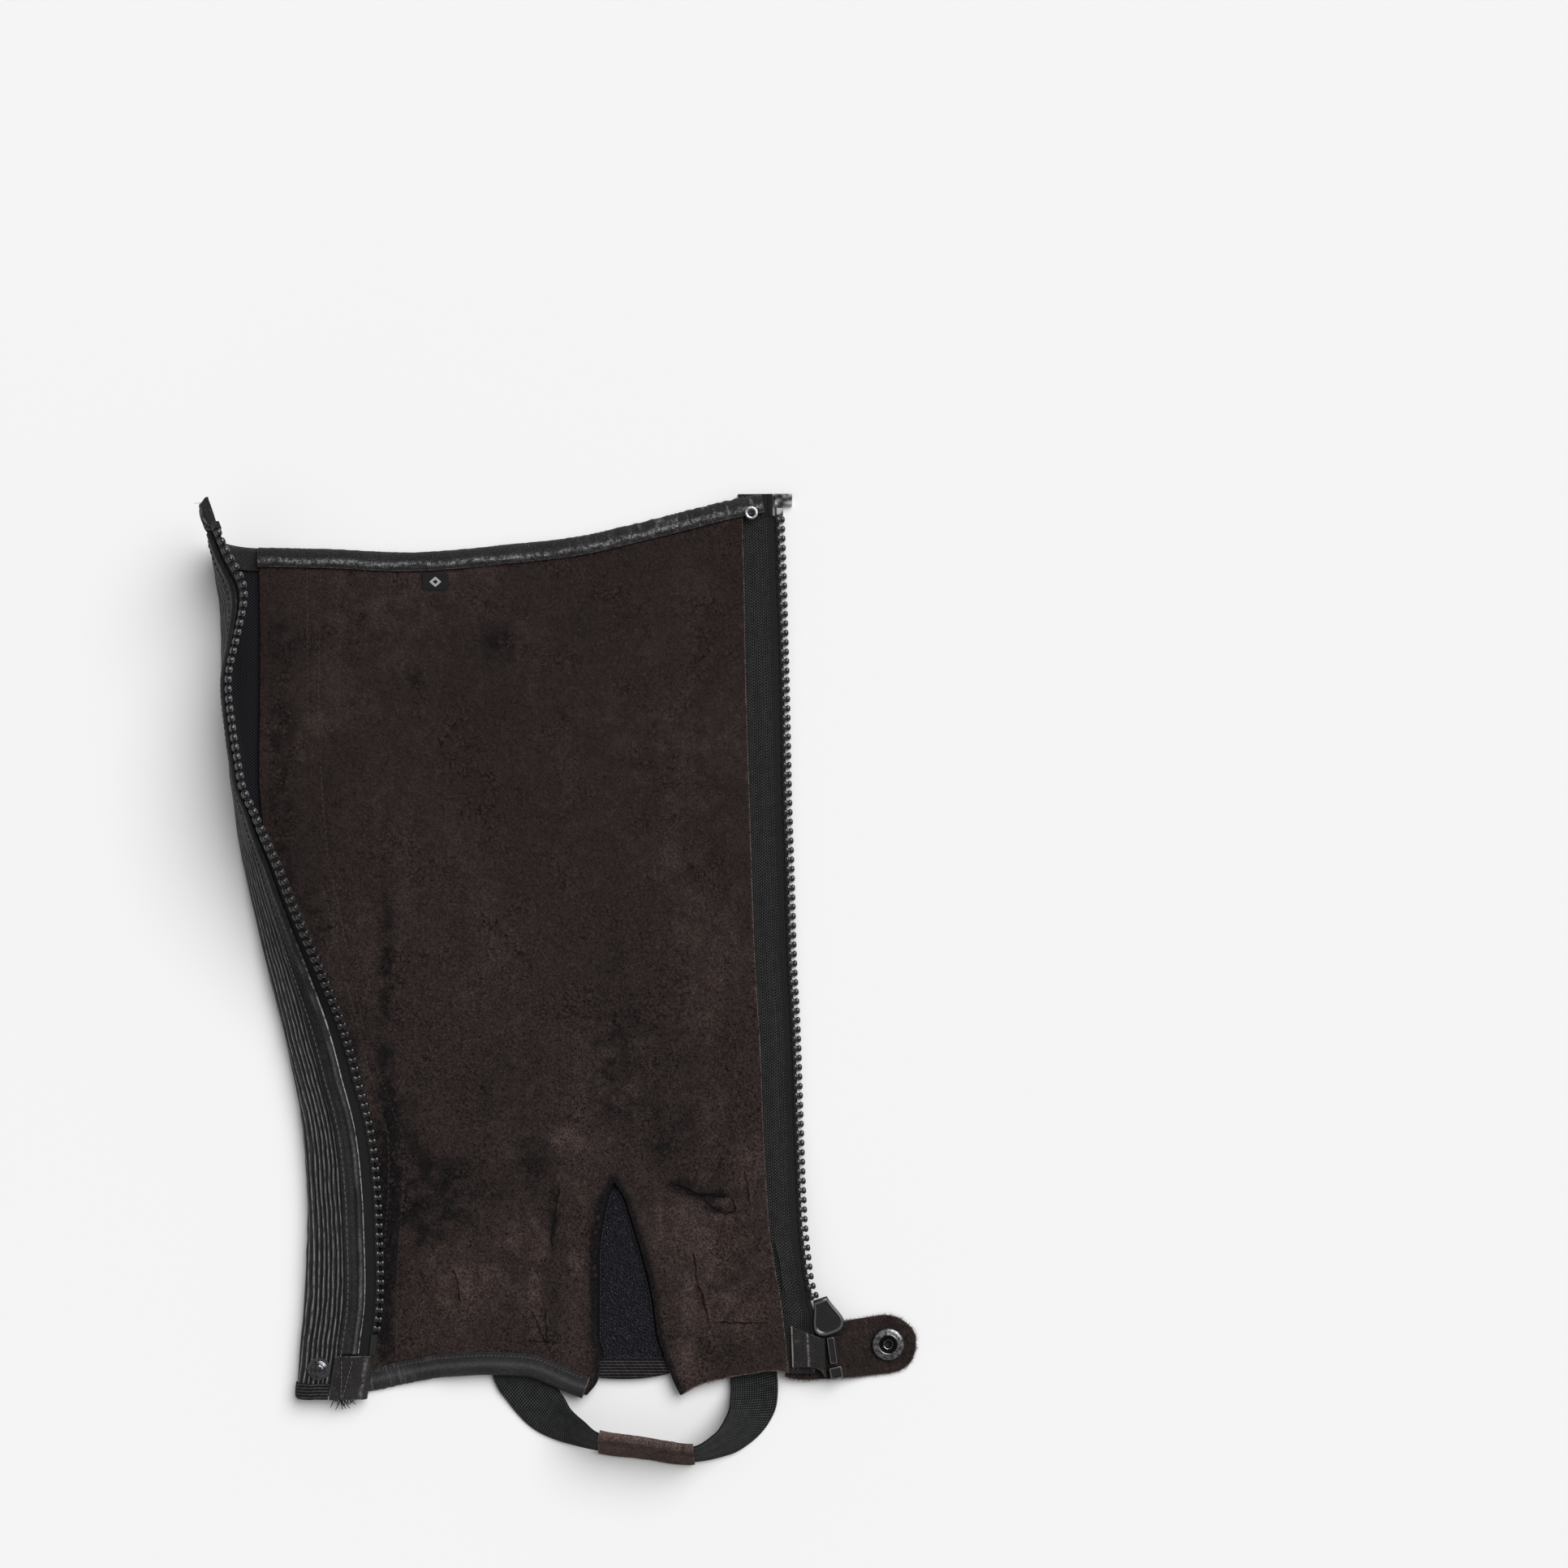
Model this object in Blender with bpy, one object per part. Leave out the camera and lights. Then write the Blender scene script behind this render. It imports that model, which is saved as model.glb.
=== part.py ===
# Half chap laid open flat, suede side up, with its elastic side panel folded over.
# X runs across the chap, Y from the ankle to the knee and Z up from the surface it lies on.
# Sizes and tables are in millimetres, meshes in metres.
import math

import bmesh
import bpy
import numpy as np

MM = 0.001
GAP = 0.3
LEATHER = 2.0
ELASTIC = 1.3
TAPE = 1.0
BINDING = 1.0
BINDING_WIDTH = 9.6
WEBBING = 1.3
WEBBING_WIDTH = 24.0
TAB_LEATHER = 1.6
SEAM_RISE = 2.1
SLIDER_LIFT = 5.9
HEM_LIFT = 2.5
RIB_COUNT = 12
RIB_HEIGHT = 0.4
TOOTH_LENGTH = 4.7
CHAIN_THICKNESS = 3.4
FOOTPRINT_MIDDLE = (4.05, 0.95)
APEX = (28.4, -98.4)
SOCKET_CENTRE = (163.2, -178.4)
STUD_HEIGHT_ON_CHAP = -189.4
STUD_FROM_TEETH = 28.0
EYELET_CENTRE = (96.0, 230.4)
SLIDER_CENTRE = (132.6, -163.9)
SLIDER_TURN = math.radians(19.0)
PULL_PIVOT_ALONG = 1.0
PULL_PIVOT_HEIGHT = 2.7
PULL_TILT = math.radians(4.7)


def table(columns, *rows):
    # a short table of sizes, one named column each
    values = np.array(rows, float)
    return {name: values[:, i] for i, name in enumerate(columns.split())}


LEFT_EDGE = table(
    "y x",
    (-206, -110.5), (-164, -108), (-116, -106.4), (-92, -107.6), (-68, -110), (-44, -114),
    (-20, -120), (4, -126.8), (28, -133.6), (52, -139.6), (76, -144), (100, -146),
    (164, -145.6), (214, -146.2),
)
RIGHT_EDGE = table(
    "y x",
    (-192, 114.4), (-176, 112.8), (-156, 110.4), (-136, 106.8), (-116, 104.4), (-76, 102),
    (-34, 100.4), (13, 97.6), (84, 95.2), (134, 93.6), (194, 92.4), (240, 91.4),
)
TOP_EDGE = table(
    "x y",
    (-148, 214), (-114, 213.5), (-74, 211.9), (-54, 212.8), (-34, 214.7), (6, 219),
    (46, 228), (86, 237.8), (101, 240.8),
)
BOTTOM_LEFT = table(
    "x y",
    (-111, -199.2), (-93, -199.6), (-74, -196), (-54, -192.2), (-34, -190.8), (-14, -191.8),
    (-4, -195.2), (6, -199.6), (14.4, -202.8),
)
BOTTOM_RIGHT = table(
    "x y",
    (61.6, -202.8), (70.4, -198), (78, -195.6), (86, -193.8), (96, -192), (106, -190.4),
    (114.5, -191.4),
)
SLIT = table(
    "y left right",
    (-204, 14.4, 61.6), (-195, 20.8, 57.2), (-182.4, 22, 52.8), (-174, 20, 50), (-156, 20, 47.6),
    (-136, 20, 42.8), (-116.4, 22.4, 37), (-106.4, 24.8, 33.6), (-98.4, 28.4, 28.4),
)
TOOTH_TIPS = table(
    "y x",
    (-156, 129.9), (-146, 126.9), (-136, 125.6), (-116, 123.6), (-76, 122), (-26, 120.4),
    (13, 118.4), (44, 117.6), (94, 116), (134, 115.2), (194, 113.6), (229, 112.4),
)
# Section of the elastic side at a height y: it runs flat from the leather's edge, turns over
# with the radius, then leans from lean to lean_end (180 is folded flat) up to the teeth.
FLAP = table(
    "y width run radius lean lean_end rise",
    (-206, 55.6, 12.2, 3.5, 182, 186, 0),
    (-182, 57, 12.0, 3.5, 182, 186, 0),
    (-160, 57, 11.4, 3.4, 182, 186, 0),
    (-115, 54, 10.8, 3.4, 182, 186, 0),
    (-75, 52.4, 10.1, 3.6, 181, 186, 0),
    (-45, 51, 9.9, 4, 174, 183, 0),
    (-20, 51.3, 8.8, 4.5, 162, 173, 0),
    (0, 52, 7.8, 5, 149, 161, 0),
    (20, 53, 6.5, 5.5, 136, 148, 0),
    (40, 54.5, 5.2, 6, 125, 137, 0),
    (60, 56, 5, 6, 117, 129, 0),
    (80, 57.5, 5, 6, 108, 118, 0),
    (100, 59, 6.2, 6, 102, 108, 0),
    (122, 60.5, 8.8, 6, 101.5, 105.5, 0),
    (145, 62, 11, 6, 102, 104, 2),
    (165, 63, 11, 6, 108, 111, 6),
    (180, 63, 10.5, 7, 113, 118, 11),
    (196, 63, 9, 10, 99, 111, 16),
    (213, 62, 5.9, 15, 88, 104, 21),
)
FLAP_ROWS = [
    -202.8, -195, -182, -160, -137, -115, -95, -75, -60, -45, -32, -20, -10, 0, 10, 20, 30,
    40, 50, 60, 70, 80, 90, 100, 111, 122, 133, 145, 155, 165, 172, 180, 188, 196, 204, 211,
]
# The two edges of the strap under the foot, from its left end to its right end.
STRAP = table(
    "along outer_x outer_y outer_z inner_x inner_y inner_z",
    (0, -31.0, -182.0, 2.3, -8.0, -175.5, 2.3),
    (9, -31.7, -191.8, 2.8, -8.9, -184.4, 3.1),
    (18, -29.0, -199.9, 2.2, -7.0, -190.2, 3.5),
    (26, -24.3, -206.5, 1.5, -3.0, -195.7, 3.3),
    (35, -18.3, -213.4, 1.0, 1.6, -202.2, 3.9),
    (48, -8.3, -221.8, 0.9, 7.3, -209.0, 12.0),
    (63, 5.7, -227.4, 1.3, 14.0, -213.1, 18.7),
    (79, 20.9, -230.3, 2.7, 22.1, -218.5, 23.4),
    (101, 43.3, -233.1, 2.7, 44.2, -221.8, 23.8),
    (123, 65.7, -235.9, 2.7, 66.3, -225.1, 24.0),
    (144, 85.6, -232.6, 1.3, 78.0, -219.6, 19.9),
    (156, 95.6, -226.6, 0.9, 83.1, -213.8, 15.5),
    (168, 103.6, -217.2, 0.9, 86.2, -207.5, 10.5),
    (177, 107.6, -208.1, 1.7, 86.6, -201.0, 5.2),
    (187, 108.6, -198.0, 3.4, 85.8, -194.4, 3.7),
    (200, 107.0, -184.0, 4.4, 84.0, -181.0, 3.7),
)
SLIDER_OUTLINE = table(
    "along half",
    (9.0, 3.7), (6.5, 4.1), (3.5, 5.2), (0.5, 6.4), (-2.5, 7.4), (-5.0, 7.7), (-7.2, 6.6),
    (-8.6, 4.4), (-9.0, 2.2),
)
SNAP_TAB = table(
    "x low high base",
    (112.5, -194.2, -178.5, 3.3), (120, -195.6, -174.6, 3.3), (128, -195.4, -170.6, 3.3),
    (136, -195.0, -167.8, 3.3), (143, -194.7, -166.6, 3.0), (150, -194.3, -165.9, 1.2),
    (155, -193.8, -165.2, 0.4), (161, -193.2, -164.4, 0.3), (167, -192.2, -165.2, 0.3),
    (171, -190.4, -167.4, 0.3), (174.5, -187.0, -170.4, 0.3), (177, -180.8, -175.0, 0.3),
)


def smooth(x_values, y_values, x):
    # monotone cubic curve through the table, held flat past its ends
    x_values = np.asarray(x_values, float)
    y_values = np.asarray(y_values, float)
    if x_values[0] > x_values[-1]:
        x_values = x_values[::-1]
        y_values = y_values[::-1]
    width = np.diff(x_values)
    slope = np.diff(y_values) / width
    tangent = np.zeros_like(y_values)
    same = slope[1:] * slope[:-1] > 0
    mean = 2 * slope[1:] * slope[:-1] / np.where(same, slope[1:] + slope[:-1], 1)
    tangent[1:-1] = np.where(same, mean, 0)
    tangent[0] = slope[0]
    tangent[-1] = slope[-1]
    x = np.clip(np.asarray(x, float), x_values[0], x_values[-1])
    i = np.clip(np.searchsorted(x_values, x) - 1, 0, len(width) - 1)
    t = (x - x_values[i]) / width[i]
    rise = (2 * t ** 3 - 3 * t ** 2 + 1) * y_values[i] + (3 * t ** 2 - 2 * t ** 3) * y_values[i + 1]
    bend = (t ** 3 - 2 * t ** 2 + t) * tangent[i] + (t ** 3 - t ** 2) * tangent[i + 1]
    return rise + bend * width[i]


def step(start, end, value):
    t = np.clip((np.asarray(value, float) - start) / (end - start), 0, 1)
    return t * t * (3 - 2 * t)


def left_x(y):
    return smooth(LEFT_EDGE["y"], LEFT_EDGE["x"], y)


def right_x(y):
    return smooth(RIGHT_EDGE["y"], RIGHT_EDGE["x"], y)


def slit_left(y):
    return smooth(SLIT["y"], SLIT["left"], y)


def slit_right(y):
    return smooth(SLIT["y"], SLIT["right"], y)


def top_y(x):
    return smooth(TOP_EDGE["x"], TOP_EDGE["y"], x)


def bottom_y(x):
    low_left = smooth(BOTTOM_LEFT["x"], BOTTOM_LEFT["y"], x)
    low_right = smooth(BOTTOM_RIGHT["x"], BOTTOM_RIGHT["y"], x)
    return np.where(np.asarray(x) < 38, low_left, low_right)


def ground(x, y):
    # the lie of the chap over the surface: lifted by the slider and along the ankle hem
    corner = step(70, 112, x) * step(-60, -150, y)
    hem = step(-84, -50, x) * step(-150, -190, y)
    return SLIDER_LIFT * corner + HEM_LIFT * hem * (1 - corner)


def seam_rise(x, y):
    # the leather climbs over what is sewn under its edges
    left = 1 - step(10, 24, x - left_x(y))
    right = 1 - step(10, 24, right_x(y) - x)
    aside = np.maximum(np.maximum(slit_left(y) - x, x - slit_right(y)), 0)
    slit = (1 - step(9, 22, aside)) * step(APEX[1] + 22, APEX[1] + 9, y)
    hem = (1 - step(20, 36, y - bottom_y(x))) * step(-62, -44, x)
    return SEAM_RISE * (1 - (1 - left) * (1 - right) * (1 - slit) * (1 - hem))


def under_leather(x, y):
    return ground(x, y) + seam_rise(x, y)


def flap(y, across, out):
    # point of the elastic side: across is the arc from the leather's edge, out the distance
    # from its middle surface towards the ribbed face
    row = {name: smooth(FLAP["y"], FLAP[name], y) for name in FLAP if name != "y"}
    lean = np.radians(row["lean"])
    lean_end = np.radians(row["lean_end"])
    turn = row["run"] + row["radius"] * lean
    rest = row["width"] - turn
    bend = rest / (lean_end - lean)
    on_turn = np.clip((across - row["run"]) / row["radius"], 0, lean)
    past = np.maximum(across - turn, 0)
    angle = on_turn + past / bend
    inward = np.minimum(across, row["run"]) + row["radius"] * np.sin(on_turn)
    inward = inward + bend * (np.sin(angle) - np.sin(on_turn)) * (past > 0)
    height = row["radius"] * (1 - np.cos(on_turn))
    height = height + bend * (np.cos(on_turn) - np.cos(angle)) * (past > 0)
    x = left_x(y) - inward - out * np.sin(angle)
    z = 0.1 + RIB_HEIGHT + ELASTIC / 2 + height - out * np.cos(angle)
    lift = row["rise"] * np.clip(across / row["width"], 0, 1) ** 1.8
    return np.stack(np.broadcast_arrays(x, y + lift, z), -1)


def flap_width(y):
    return smooth(FLAP["y"], FLAP["width"], y)


def outward(profile):
    # unit normals of an open profile in its own plane, on the left of its direction
    profile = np.asarray(profile, float)
    along = np.gradient(profile, axis=0)
    along /= np.linalg.norm(along, axis=1)[:, None]
    return np.stack([-along[:, 1], along[:, 0]], 1)


def make_material(name, colour, roughness, metallic=0.0):
    material = bpy.data.materials.new(name)
    material.use_nodes = True
    shader = material.node_tree.nodes["Principled BSDF"]
    shader.inputs["Base Color"].default_value = (*colour, 1.0)
    shader.inputs["Roughness"].default_value = roughness
    shader.inputs["Metallic"].default_value = metallic
    return material


def make_object(name, points, faces, material, location=(0, 0, 0), smooth_shade=True):
    mesh = bpy.data.meshes.new(name)
    mesh.from_pydata((np.asarray(points, float) * MM).tolist(), [], [list(f) for f in faces])
    shape = bmesh.new()
    shape.from_mesh(mesh)
    bmesh.ops.recalc_face_normals(shape, faces=shape.faces)
    shape.to_mesh(mesh)
    shape.free()
    mesh.materials.append(material)
    if smooth_shade:
        mesh.shade_smooth()
        mesh.set_sharp_from_angle(angle=math.radians(35))
    item = bpy.data.objects.new(name, mesh)
    item.location = location
    bpy.context.scene.collection.objects.link(item)
    return item


def grid_faces(rows, columns):
    r, c = np.meshgrid(np.arange(rows - 1), np.arange(columns - 1), indexing="ij")
    first = (r * columns + c).ravel()
    return np.stack([first, first + 1, first + columns + 1, first + columns], 1).tolist()


def close_wall(name, low, high, faces, material):
    # two point sheets with the same faces, joined along their open edges
    count = len(low)
    used = {}
    for face in faces:
        for a, b in zip(face, face[1:] + face[:1]):
            used[(a, b)] = used.get((a, b), 0) + 1
    solid = [list(face) for face in faces]
    solid += [[i + count for i in reversed(face)] for face in faces]
    solid += [[b, a, a + count, b + count] for a, b in used if (b, a) not in used]
    return make_object(name, np.concatenate([low, high]), solid, material)


def wall_from_grid(name, low, high, material):
    rows, columns = low.shape[:2]
    return close_wall(name, low.reshape(-1, 3), high.reshape(-1, 3), grid_faces(rows, columns), material)


def closed_loft(name, rings, material, **place):
    # rings of equal length stacked into a closed body
    count = len(rings[0])
    faces = [list(range(count))]
    for k in range(len(rings) - 1):
        for i in range(count):
            j = (i + 1) % count
            faces.append([k * count + i, k * count + j, (k + 1) * count + j, (k + 1) * count + i])
    faces.append([(len(rings) - 1) * count + i for i in reversed(range(count))])
    return make_object(name, np.concatenate(rings), faces, material, **place)


def turned(name, profile, sides, material, location):
    # closed ring: a profile of radius and height turned about Z
    angle = np.linspace(0, 2 * math.pi, sides, endpoint=False)
    profile = np.asarray(profile, float)
    radius = profile[:, 0][None, :]
    points = np.stack([radius * np.cos(angle)[:, None], radius * np.sin(angle)[:, None],
                       np.broadcast_to(profile[:, 1], (sides, len(profile)))], -1)
    around = len(profile)
    faces = []
    for i in range(sides):
        for k in range(around):
            a = i * around + k
            b = i * around + (k + 1) % around
            j = ((i + 1) % sides) * around
            faces.append([a, b, j + (k + 1) % around, j + k])
    return make_object(name, points.reshape(-1, 3), faces, material, location)


def disc(name, profile, sides, material, location):
    # solid of rings with shrinking radii, closed by flat caps
    angle = np.linspace(0, 2 * math.pi, sides, endpoint=False)
    rings = [np.stack([r * np.cos(angle), r * np.sin(angle), np.full(sides, h)], 1) for r, h in profile]
    return closed_loft(name, rings, material, location=location)


def rolled_edge(name, path, inward, profile, thickness, material):
    # a strip folded over the leather's edge: distance in from the edge and height over its base
    profile = np.asarray(profile, float)
    normal = outward(profile) * thickness / 2
    sheets = []
    for shape in (profile - normal, profile + normal):
        flat = path[:, None, :] + inward[:, None, :] * shape[None, :, :1]
        height = under_leather(flat[..., 0], flat[..., 1]) + shape[None, :, 1]
        sheets.append(np.concatenate([flat, height[..., None]], -1))
    return wall_from_grid(name, sheets[0], sheets[1], material)


def joined(name, base, others, operation, material):
    # one closed body out of several
    for other in others:
        modifier = base.modifiers.new("shape", "BOOLEAN")
        modifier.operation = operation
        modifier.object = other
        modifier.solver = "EXACT"
    bpy.context.view_layer.update()
    evaluated = base.evaluated_get(bpy.context.evaluated_depsgraph_get())
    mesh = bpy.data.meshes.new_from_object(evaluated)
    mesh.name = name
    mesh.materials.clear()
    mesh.materials.append(material)
    base.modifiers.clear()
    base.data = mesh
    base.name = name
    for other in others:
        bpy.data.objects.remove(other)
    return base


def block(name, low, high, material, location=(0, 0, 0), trim=0.0):
    # a box with its upper edges trimmed
    rings = []
    for z, inset in ((low[2], 0), (high[2] - trim, 0), (high[2], trim)):
        if trim == 0 and inset == 0 and z == high[2] and rings[1:]:
            continue
        rings.append(np.array([
            (low[0] + inset, low[1] + inset, z), (high[0] - inset, low[1] + inset, z),
            (high[0] - inset, high[1] - inset, z), (low[0] + inset, high[1] - inset, z)]))
    return closed_loft(name, rings, material, location=location)


for old in list(bpy.data.objects):
    bpy.data.objects.remove(old)

suede = make_material("brown_suede", (0.036, 0.026, 0.021), 0.95)
black_leather = make_material("black_leather", (0.025, 0.024, 0.027), 0.42)
ribbed_elastic = make_material("black_elastic", (0.012, 0.012, 0.013), 0.85)
tape_cloth = make_material("zip_tape", (0.018, 0.017, 0.019), 0.8)
knit = make_material("blue_black_knit", (0.010, 0.011, 0.017), 0.9)
webbing = make_material("webbing", (0.013, 0.014, 0.015), 0.9)
black_plastic = make_material("black_plastic", (0.012, 0.012, 0.013), 0.3)
clear_plastic = make_material("clear_plastic", (0.45, 0.46, 0.47), 0.15)
dark_metal = make_material("dark_metal", (0.03, 0.03, 0.032), 0.28, 1.0)
bright_metal = make_material("bright_metal", (0.42, 0.42, 0.43), 0.3, 1.0)
label_cloth = make_material("label_cloth", (0.02, 0.02, 0.022), 0.8)

# Leg panel: rows from the knee to the ankle, with a slit from the apex down.
row_heights = np.array([
    212.6, 206, 198, 188, 170, 152, 134, 116, 98, 80, 62, 44, 26, 8, -10, -28, -46, -62, -76,
    -88, -98.4, -107, -116, -128, -142, -156, -166, -174, -181, -188, -194, -200])
apex_row = 20
left_shares = np.array([0, 5, 10, 17, 24, 40, 56, 72, 88, 104, 118, 127, 134.5, 141, 145.5, 150]) / 150
right_shares = np.array([0, 3.5, 9, 16, 23, 32, 41, 48, 54, 59.5, 64]) / 64
span_left = len(left_shares)
span_right = len(right_shares)


def panel_row(height, side):
    # x and y of one row of the panel on one side of the slit
    shares = left_shares if side == "left" else right_shares
    y = np.full(len(shares), float(height))
    for _ in range(3):
        outer = left_x(y) if side == "left" else right_x(y)
        below = y < APEX[1]
        middle = slit_left(y) if side == "left" else slit_right(y)
        middle = np.where(below, middle, APEX[0])
        if side == "left":
            x = outer + (middle - outer) * shares
        else:
            x = middle + (outer - middle) * shares
        up = step(110, 212.6, height) * (top_y(x) - 2.6 - 212.6)
        table_low = BOTTOM_LEFT if side == "left" else BOTTOM_RIGHT
        down = step(-112, -200, height) * (smooth(table_low["x"], table_low["y"], x) + 200)
        y = height + up + down
    return np.stack([x, y], 1)


flat_points = []
left_index = []
right_index = []
for r, height in enumerate(row_heights):
    left_row = panel_row(height, "left")
    right_row = panel_row(height, "right")
    left_index.append(list(range(len(flat_points), len(flat_points) + span_left)))
    flat_points.extend(left_row.tolist())
    if r <= apex_row:
        start = left_index[-1][-1]
        right_index.append([start] + list(range(len(flat_points), len(flat_points) + span_right - 1)))
        flat_points.extend(right_row[1:].tolist())
    else:
        right_index.append(list(range(len(flat_points), len(flat_points) + span_right)))
        flat_points.extend(right_row.tolist())
panel_faces = []
for index in (left_index, right_index):
    for r in range(len(index) - 1):
        for c in range(len(index[0]) - 1):
            panel_faces.append([index[r][c], index[r + 1][c], index[r + 1][c + 1], index[r][c + 1]])
flat_points = np.array(flat_points)
base = under_leather(flat_points[:, 0], flat_points[:, 1])
low = np.column_stack([flat_points, base])
high = np.column_stack([flat_points, base + LEATHER])
close_wall("leg_panel", low, high, panel_faces, suede)

# Elastic side panel: ribbed on its outer face from the fold on, plain inside.
flap_y = np.array(FLAP_ROWS, float)[:, None]
run = smooth(FLAP["y"], FLAP["run"], flap_y)
panel_end = flap_width(flap_y) - 17.5
outer_share = np.linspace(0, 1, 2 * RIB_COUNT + 1)[None, :]
inner_share = np.linspace(0, 1, RIB_COUNT + 1)[None, :]
floor_share = np.array([[0.0, 0.5]])
outer_across = np.hstack([-9 + (run + 9) * floor_share, run + (panel_end - run) * outer_share])
inner_across = np.hstack([-9 + (run + 9) * floor_share, run + (panel_end - run) * inner_share])
ribs = np.zeros(outer_across.shape)
ribs[:, 3::2] = RIB_HEIGHT
outer_sheet = flap(flap_y, outer_across, ELASTIC / 2 + ribs)
inner_sheet = flap(flap_y, inner_across, np.full(inner_across.shape, -ELASTIC / 2))
rows, outer_columns = outer_across.shape
inner_columns = inner_across.shape[1]
shift = rows * outer_columns
faces = grid_faces(rows, outer_columns)
faces += [[i + shift for i in reversed(f)] for f in grid_faces(rows, inner_columns)]
for r in (0, rows - 1):
    o = r * outer_columns
    n = shift + r * inner_columns
    for c in range(2):
        faces.append([o + c, o + c + 1, n + c + 1, n + c])
    for k in range(RIB_COUNT):
        c = 2 + 2 * k
        faces.append([o + c, o + c + 1, o + c + 2, n + 3 + k, n + 2 + k])
for o, n in ((0, shift), (outer_columns - 1, shift + inner_columns - 1)):
    for r in range(rows - 1):
        a = o + r * outer_columns
        b = n + r * inner_columns
        faces.append([a, a + outer_columns, b + inner_columns, b])
points = np.concatenate([outer_sheet.reshape(-1, 3), inner_sheet.reshape(-1, 3)])
make_object("stretch_panel", points, faces, ribbed_elastic)


def flap_strip(name, heights, from_teeth, out_low, out_high, material):
    # a strip along the elastic side at distances from the tooth tips
    y = np.asarray(heights, float)[:, None]
    across = flap_width(y) - np.asarray(from_teeth, float).reshape(-1, len(out_low))
    low_sheet = flap(y, across, np.asarray(out_low, float)[None, :] + 0 * y)
    high_sheet = flap(y, across, np.asarray(out_high, float)[None, :] + 0 * y)
    return wall_from_grid(name, low_sheet, high_sheet, material)


facing_rows = [y for y in FLAP_ROWS if -183 < y < 203] + [204.6]
flap_strip("zip_facing", facing_rows, (20.2, 17.6, 13.4, 11.2, 9.6),
           (1.4, 1.4, 1.3, 1.2, 0.9), (2.4, 2.5, 2.9, 2.6, 1.9), black_leather)
tape_rows = np.array([-202, -195, -188, -183] + FLAP_ROWS[3:-2] + [204.6])
tape_from = np.stack([17.2 + 0 * tape_rows, 11.4 + 0 * tape_rows, 5.0 + 3.6 * (tape_rows < -184)], 1)
flap_strip("zip_tape_left", tape_rows, tape_from, (-0.5, -0.5, -0.5), (0.5, 0.5, 0.5), tape_cloth)
tooth_rows = [-172] + [y for y in FLAP_ROWS if -165 < y < 200] + [201.6]
half_chain = CHAIN_THICKNESS / 2
flap_strip("zip_teeth_left", tooth_rows, (TOOTH_LENGTH, 2.4, 0.0),
           (-half_chain, -half_chain, -1.1), (half_chain, half_chain, 1.1), black_plastic)
flap_strip("zip_pin", [-182.9, -178, -173], (4.6, 1.6), (-1.3, -1.3), (1.3, 1.3), black_plastic)
flap_strip("zip_top_stop_left", [202.1, 203.4, 204.6], (4.3, 0.4), (-1.9, -1.7), (1.9, 1.7), black_plastic)

# Upper tape end of the elastic side, folded over on itself in pleats.
fold_rows = np.array([205.1, 207.5, 210, 212.5, 214.4])[:, None]
fold_from = np.array([[16.8, 13.5, 12.0, 10.2, 8.6, 6.8, 5.2, 3.2, 1.4]])
fold_high = np.array([[0.9, 1.6, 3.4, 2.3, 4.2, 2.8, 4.3, 2.9, 0.8]])
fold_slim = np.array([[0.75], [0.95], [1.0], [0.9], [0.55]])
fold_across = flap_width(fold_rows) - fold_from
wall_from_grid("tape_end_fold_left", flap(fold_rows, fold_across, -0.9 * fold_slim + 0 * fold_from),
               flap(fold_rows, fold_across, fold_high * fold_slim), black_leather)

# Leather cap over the lower tape end of the elastic side, turned round its free edge.
cap_rows = np.array([-204.6, -202, -196, -190, -183.4])[:, None]
cap_from = np.array([[21.0, 16.0, 11.0, 6.4, 4.3, 3.6, 4.3]])
cap_low = np.array([[1.5, 1.5, 1.3, 1.2, 0.7, -0.3, -1.2]])
cap_high = np.array([[2.5, 2.7, 2.6, 2.3, 1.5, -0.3, -2.2]])
shift_out = np.array([[0, 0, 0, 0, 0.6, 1.2, 0.8]])
cap_across = flap_width(cap_rows) - cap_from
wall_from_grid("tape_end_cover_left", flap(cap_rows, cap_across, cap_low + 0 * cap_rows),
               flap(cap_rows, cap_across + shift_out, cap_high + 0 * cap_rows), black_leather)

# Hem band at the ankle end of the elastic side, over its ribbed face and round its end.
hem_profile = np.array([(-197.2, 1.85), (-200.0, 1.9), (-202.8, 1.8), (-204.2, 0.9), (-204.4, 0.0)])
hem_normal = outward(hem_profile) * 0.45
hem_share = np.linspace(0.12, 1, 13)[None, :]
hem_sheets = []
for profile in (hem_profile - hem_normal, hem_profile + hem_normal):
    y = profile[:, :1]
    start = smooth(FLAP["y"], FLAP["run"], y)
    across = start + (flap_width(y) - 21.8 - start) * hem_share
    hem_sheets.append(flap(np.maximum(y, -203), across, profile[:, 1:] + 0 * across))
    hem_sheets[-1][..., 1] = y + 0 * across
wall_from_grid("stretch_hem", hem_sheets[0], hem_sheets[1], ribbed_elastic)

# Leather band over the knee end of the elastic side, on its inner face and over its top edge.
band_profile = np.array([(202.0, -1.45), (207.0, -1.55), (211.4, -1.6), (212.6, -0.9), (212.9, 0.2)])
band_normal = outward(band_profile) * 0.45
band_sheets = []
for profile in (band_profile + band_normal, band_profile - band_normal):
    y = profile[:, :1]
    across = 1.5 + (flap_width(y) - 17.5 - 1.5) * np.linspace(0, 1, 17)[None, :]
    band_sheets.append(flap(y, across, profile[:, 1:] + 0 * across))
wall_from_grid("stretch_top_band", band_sheets[0], band_sheets[1], black_leather)

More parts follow.
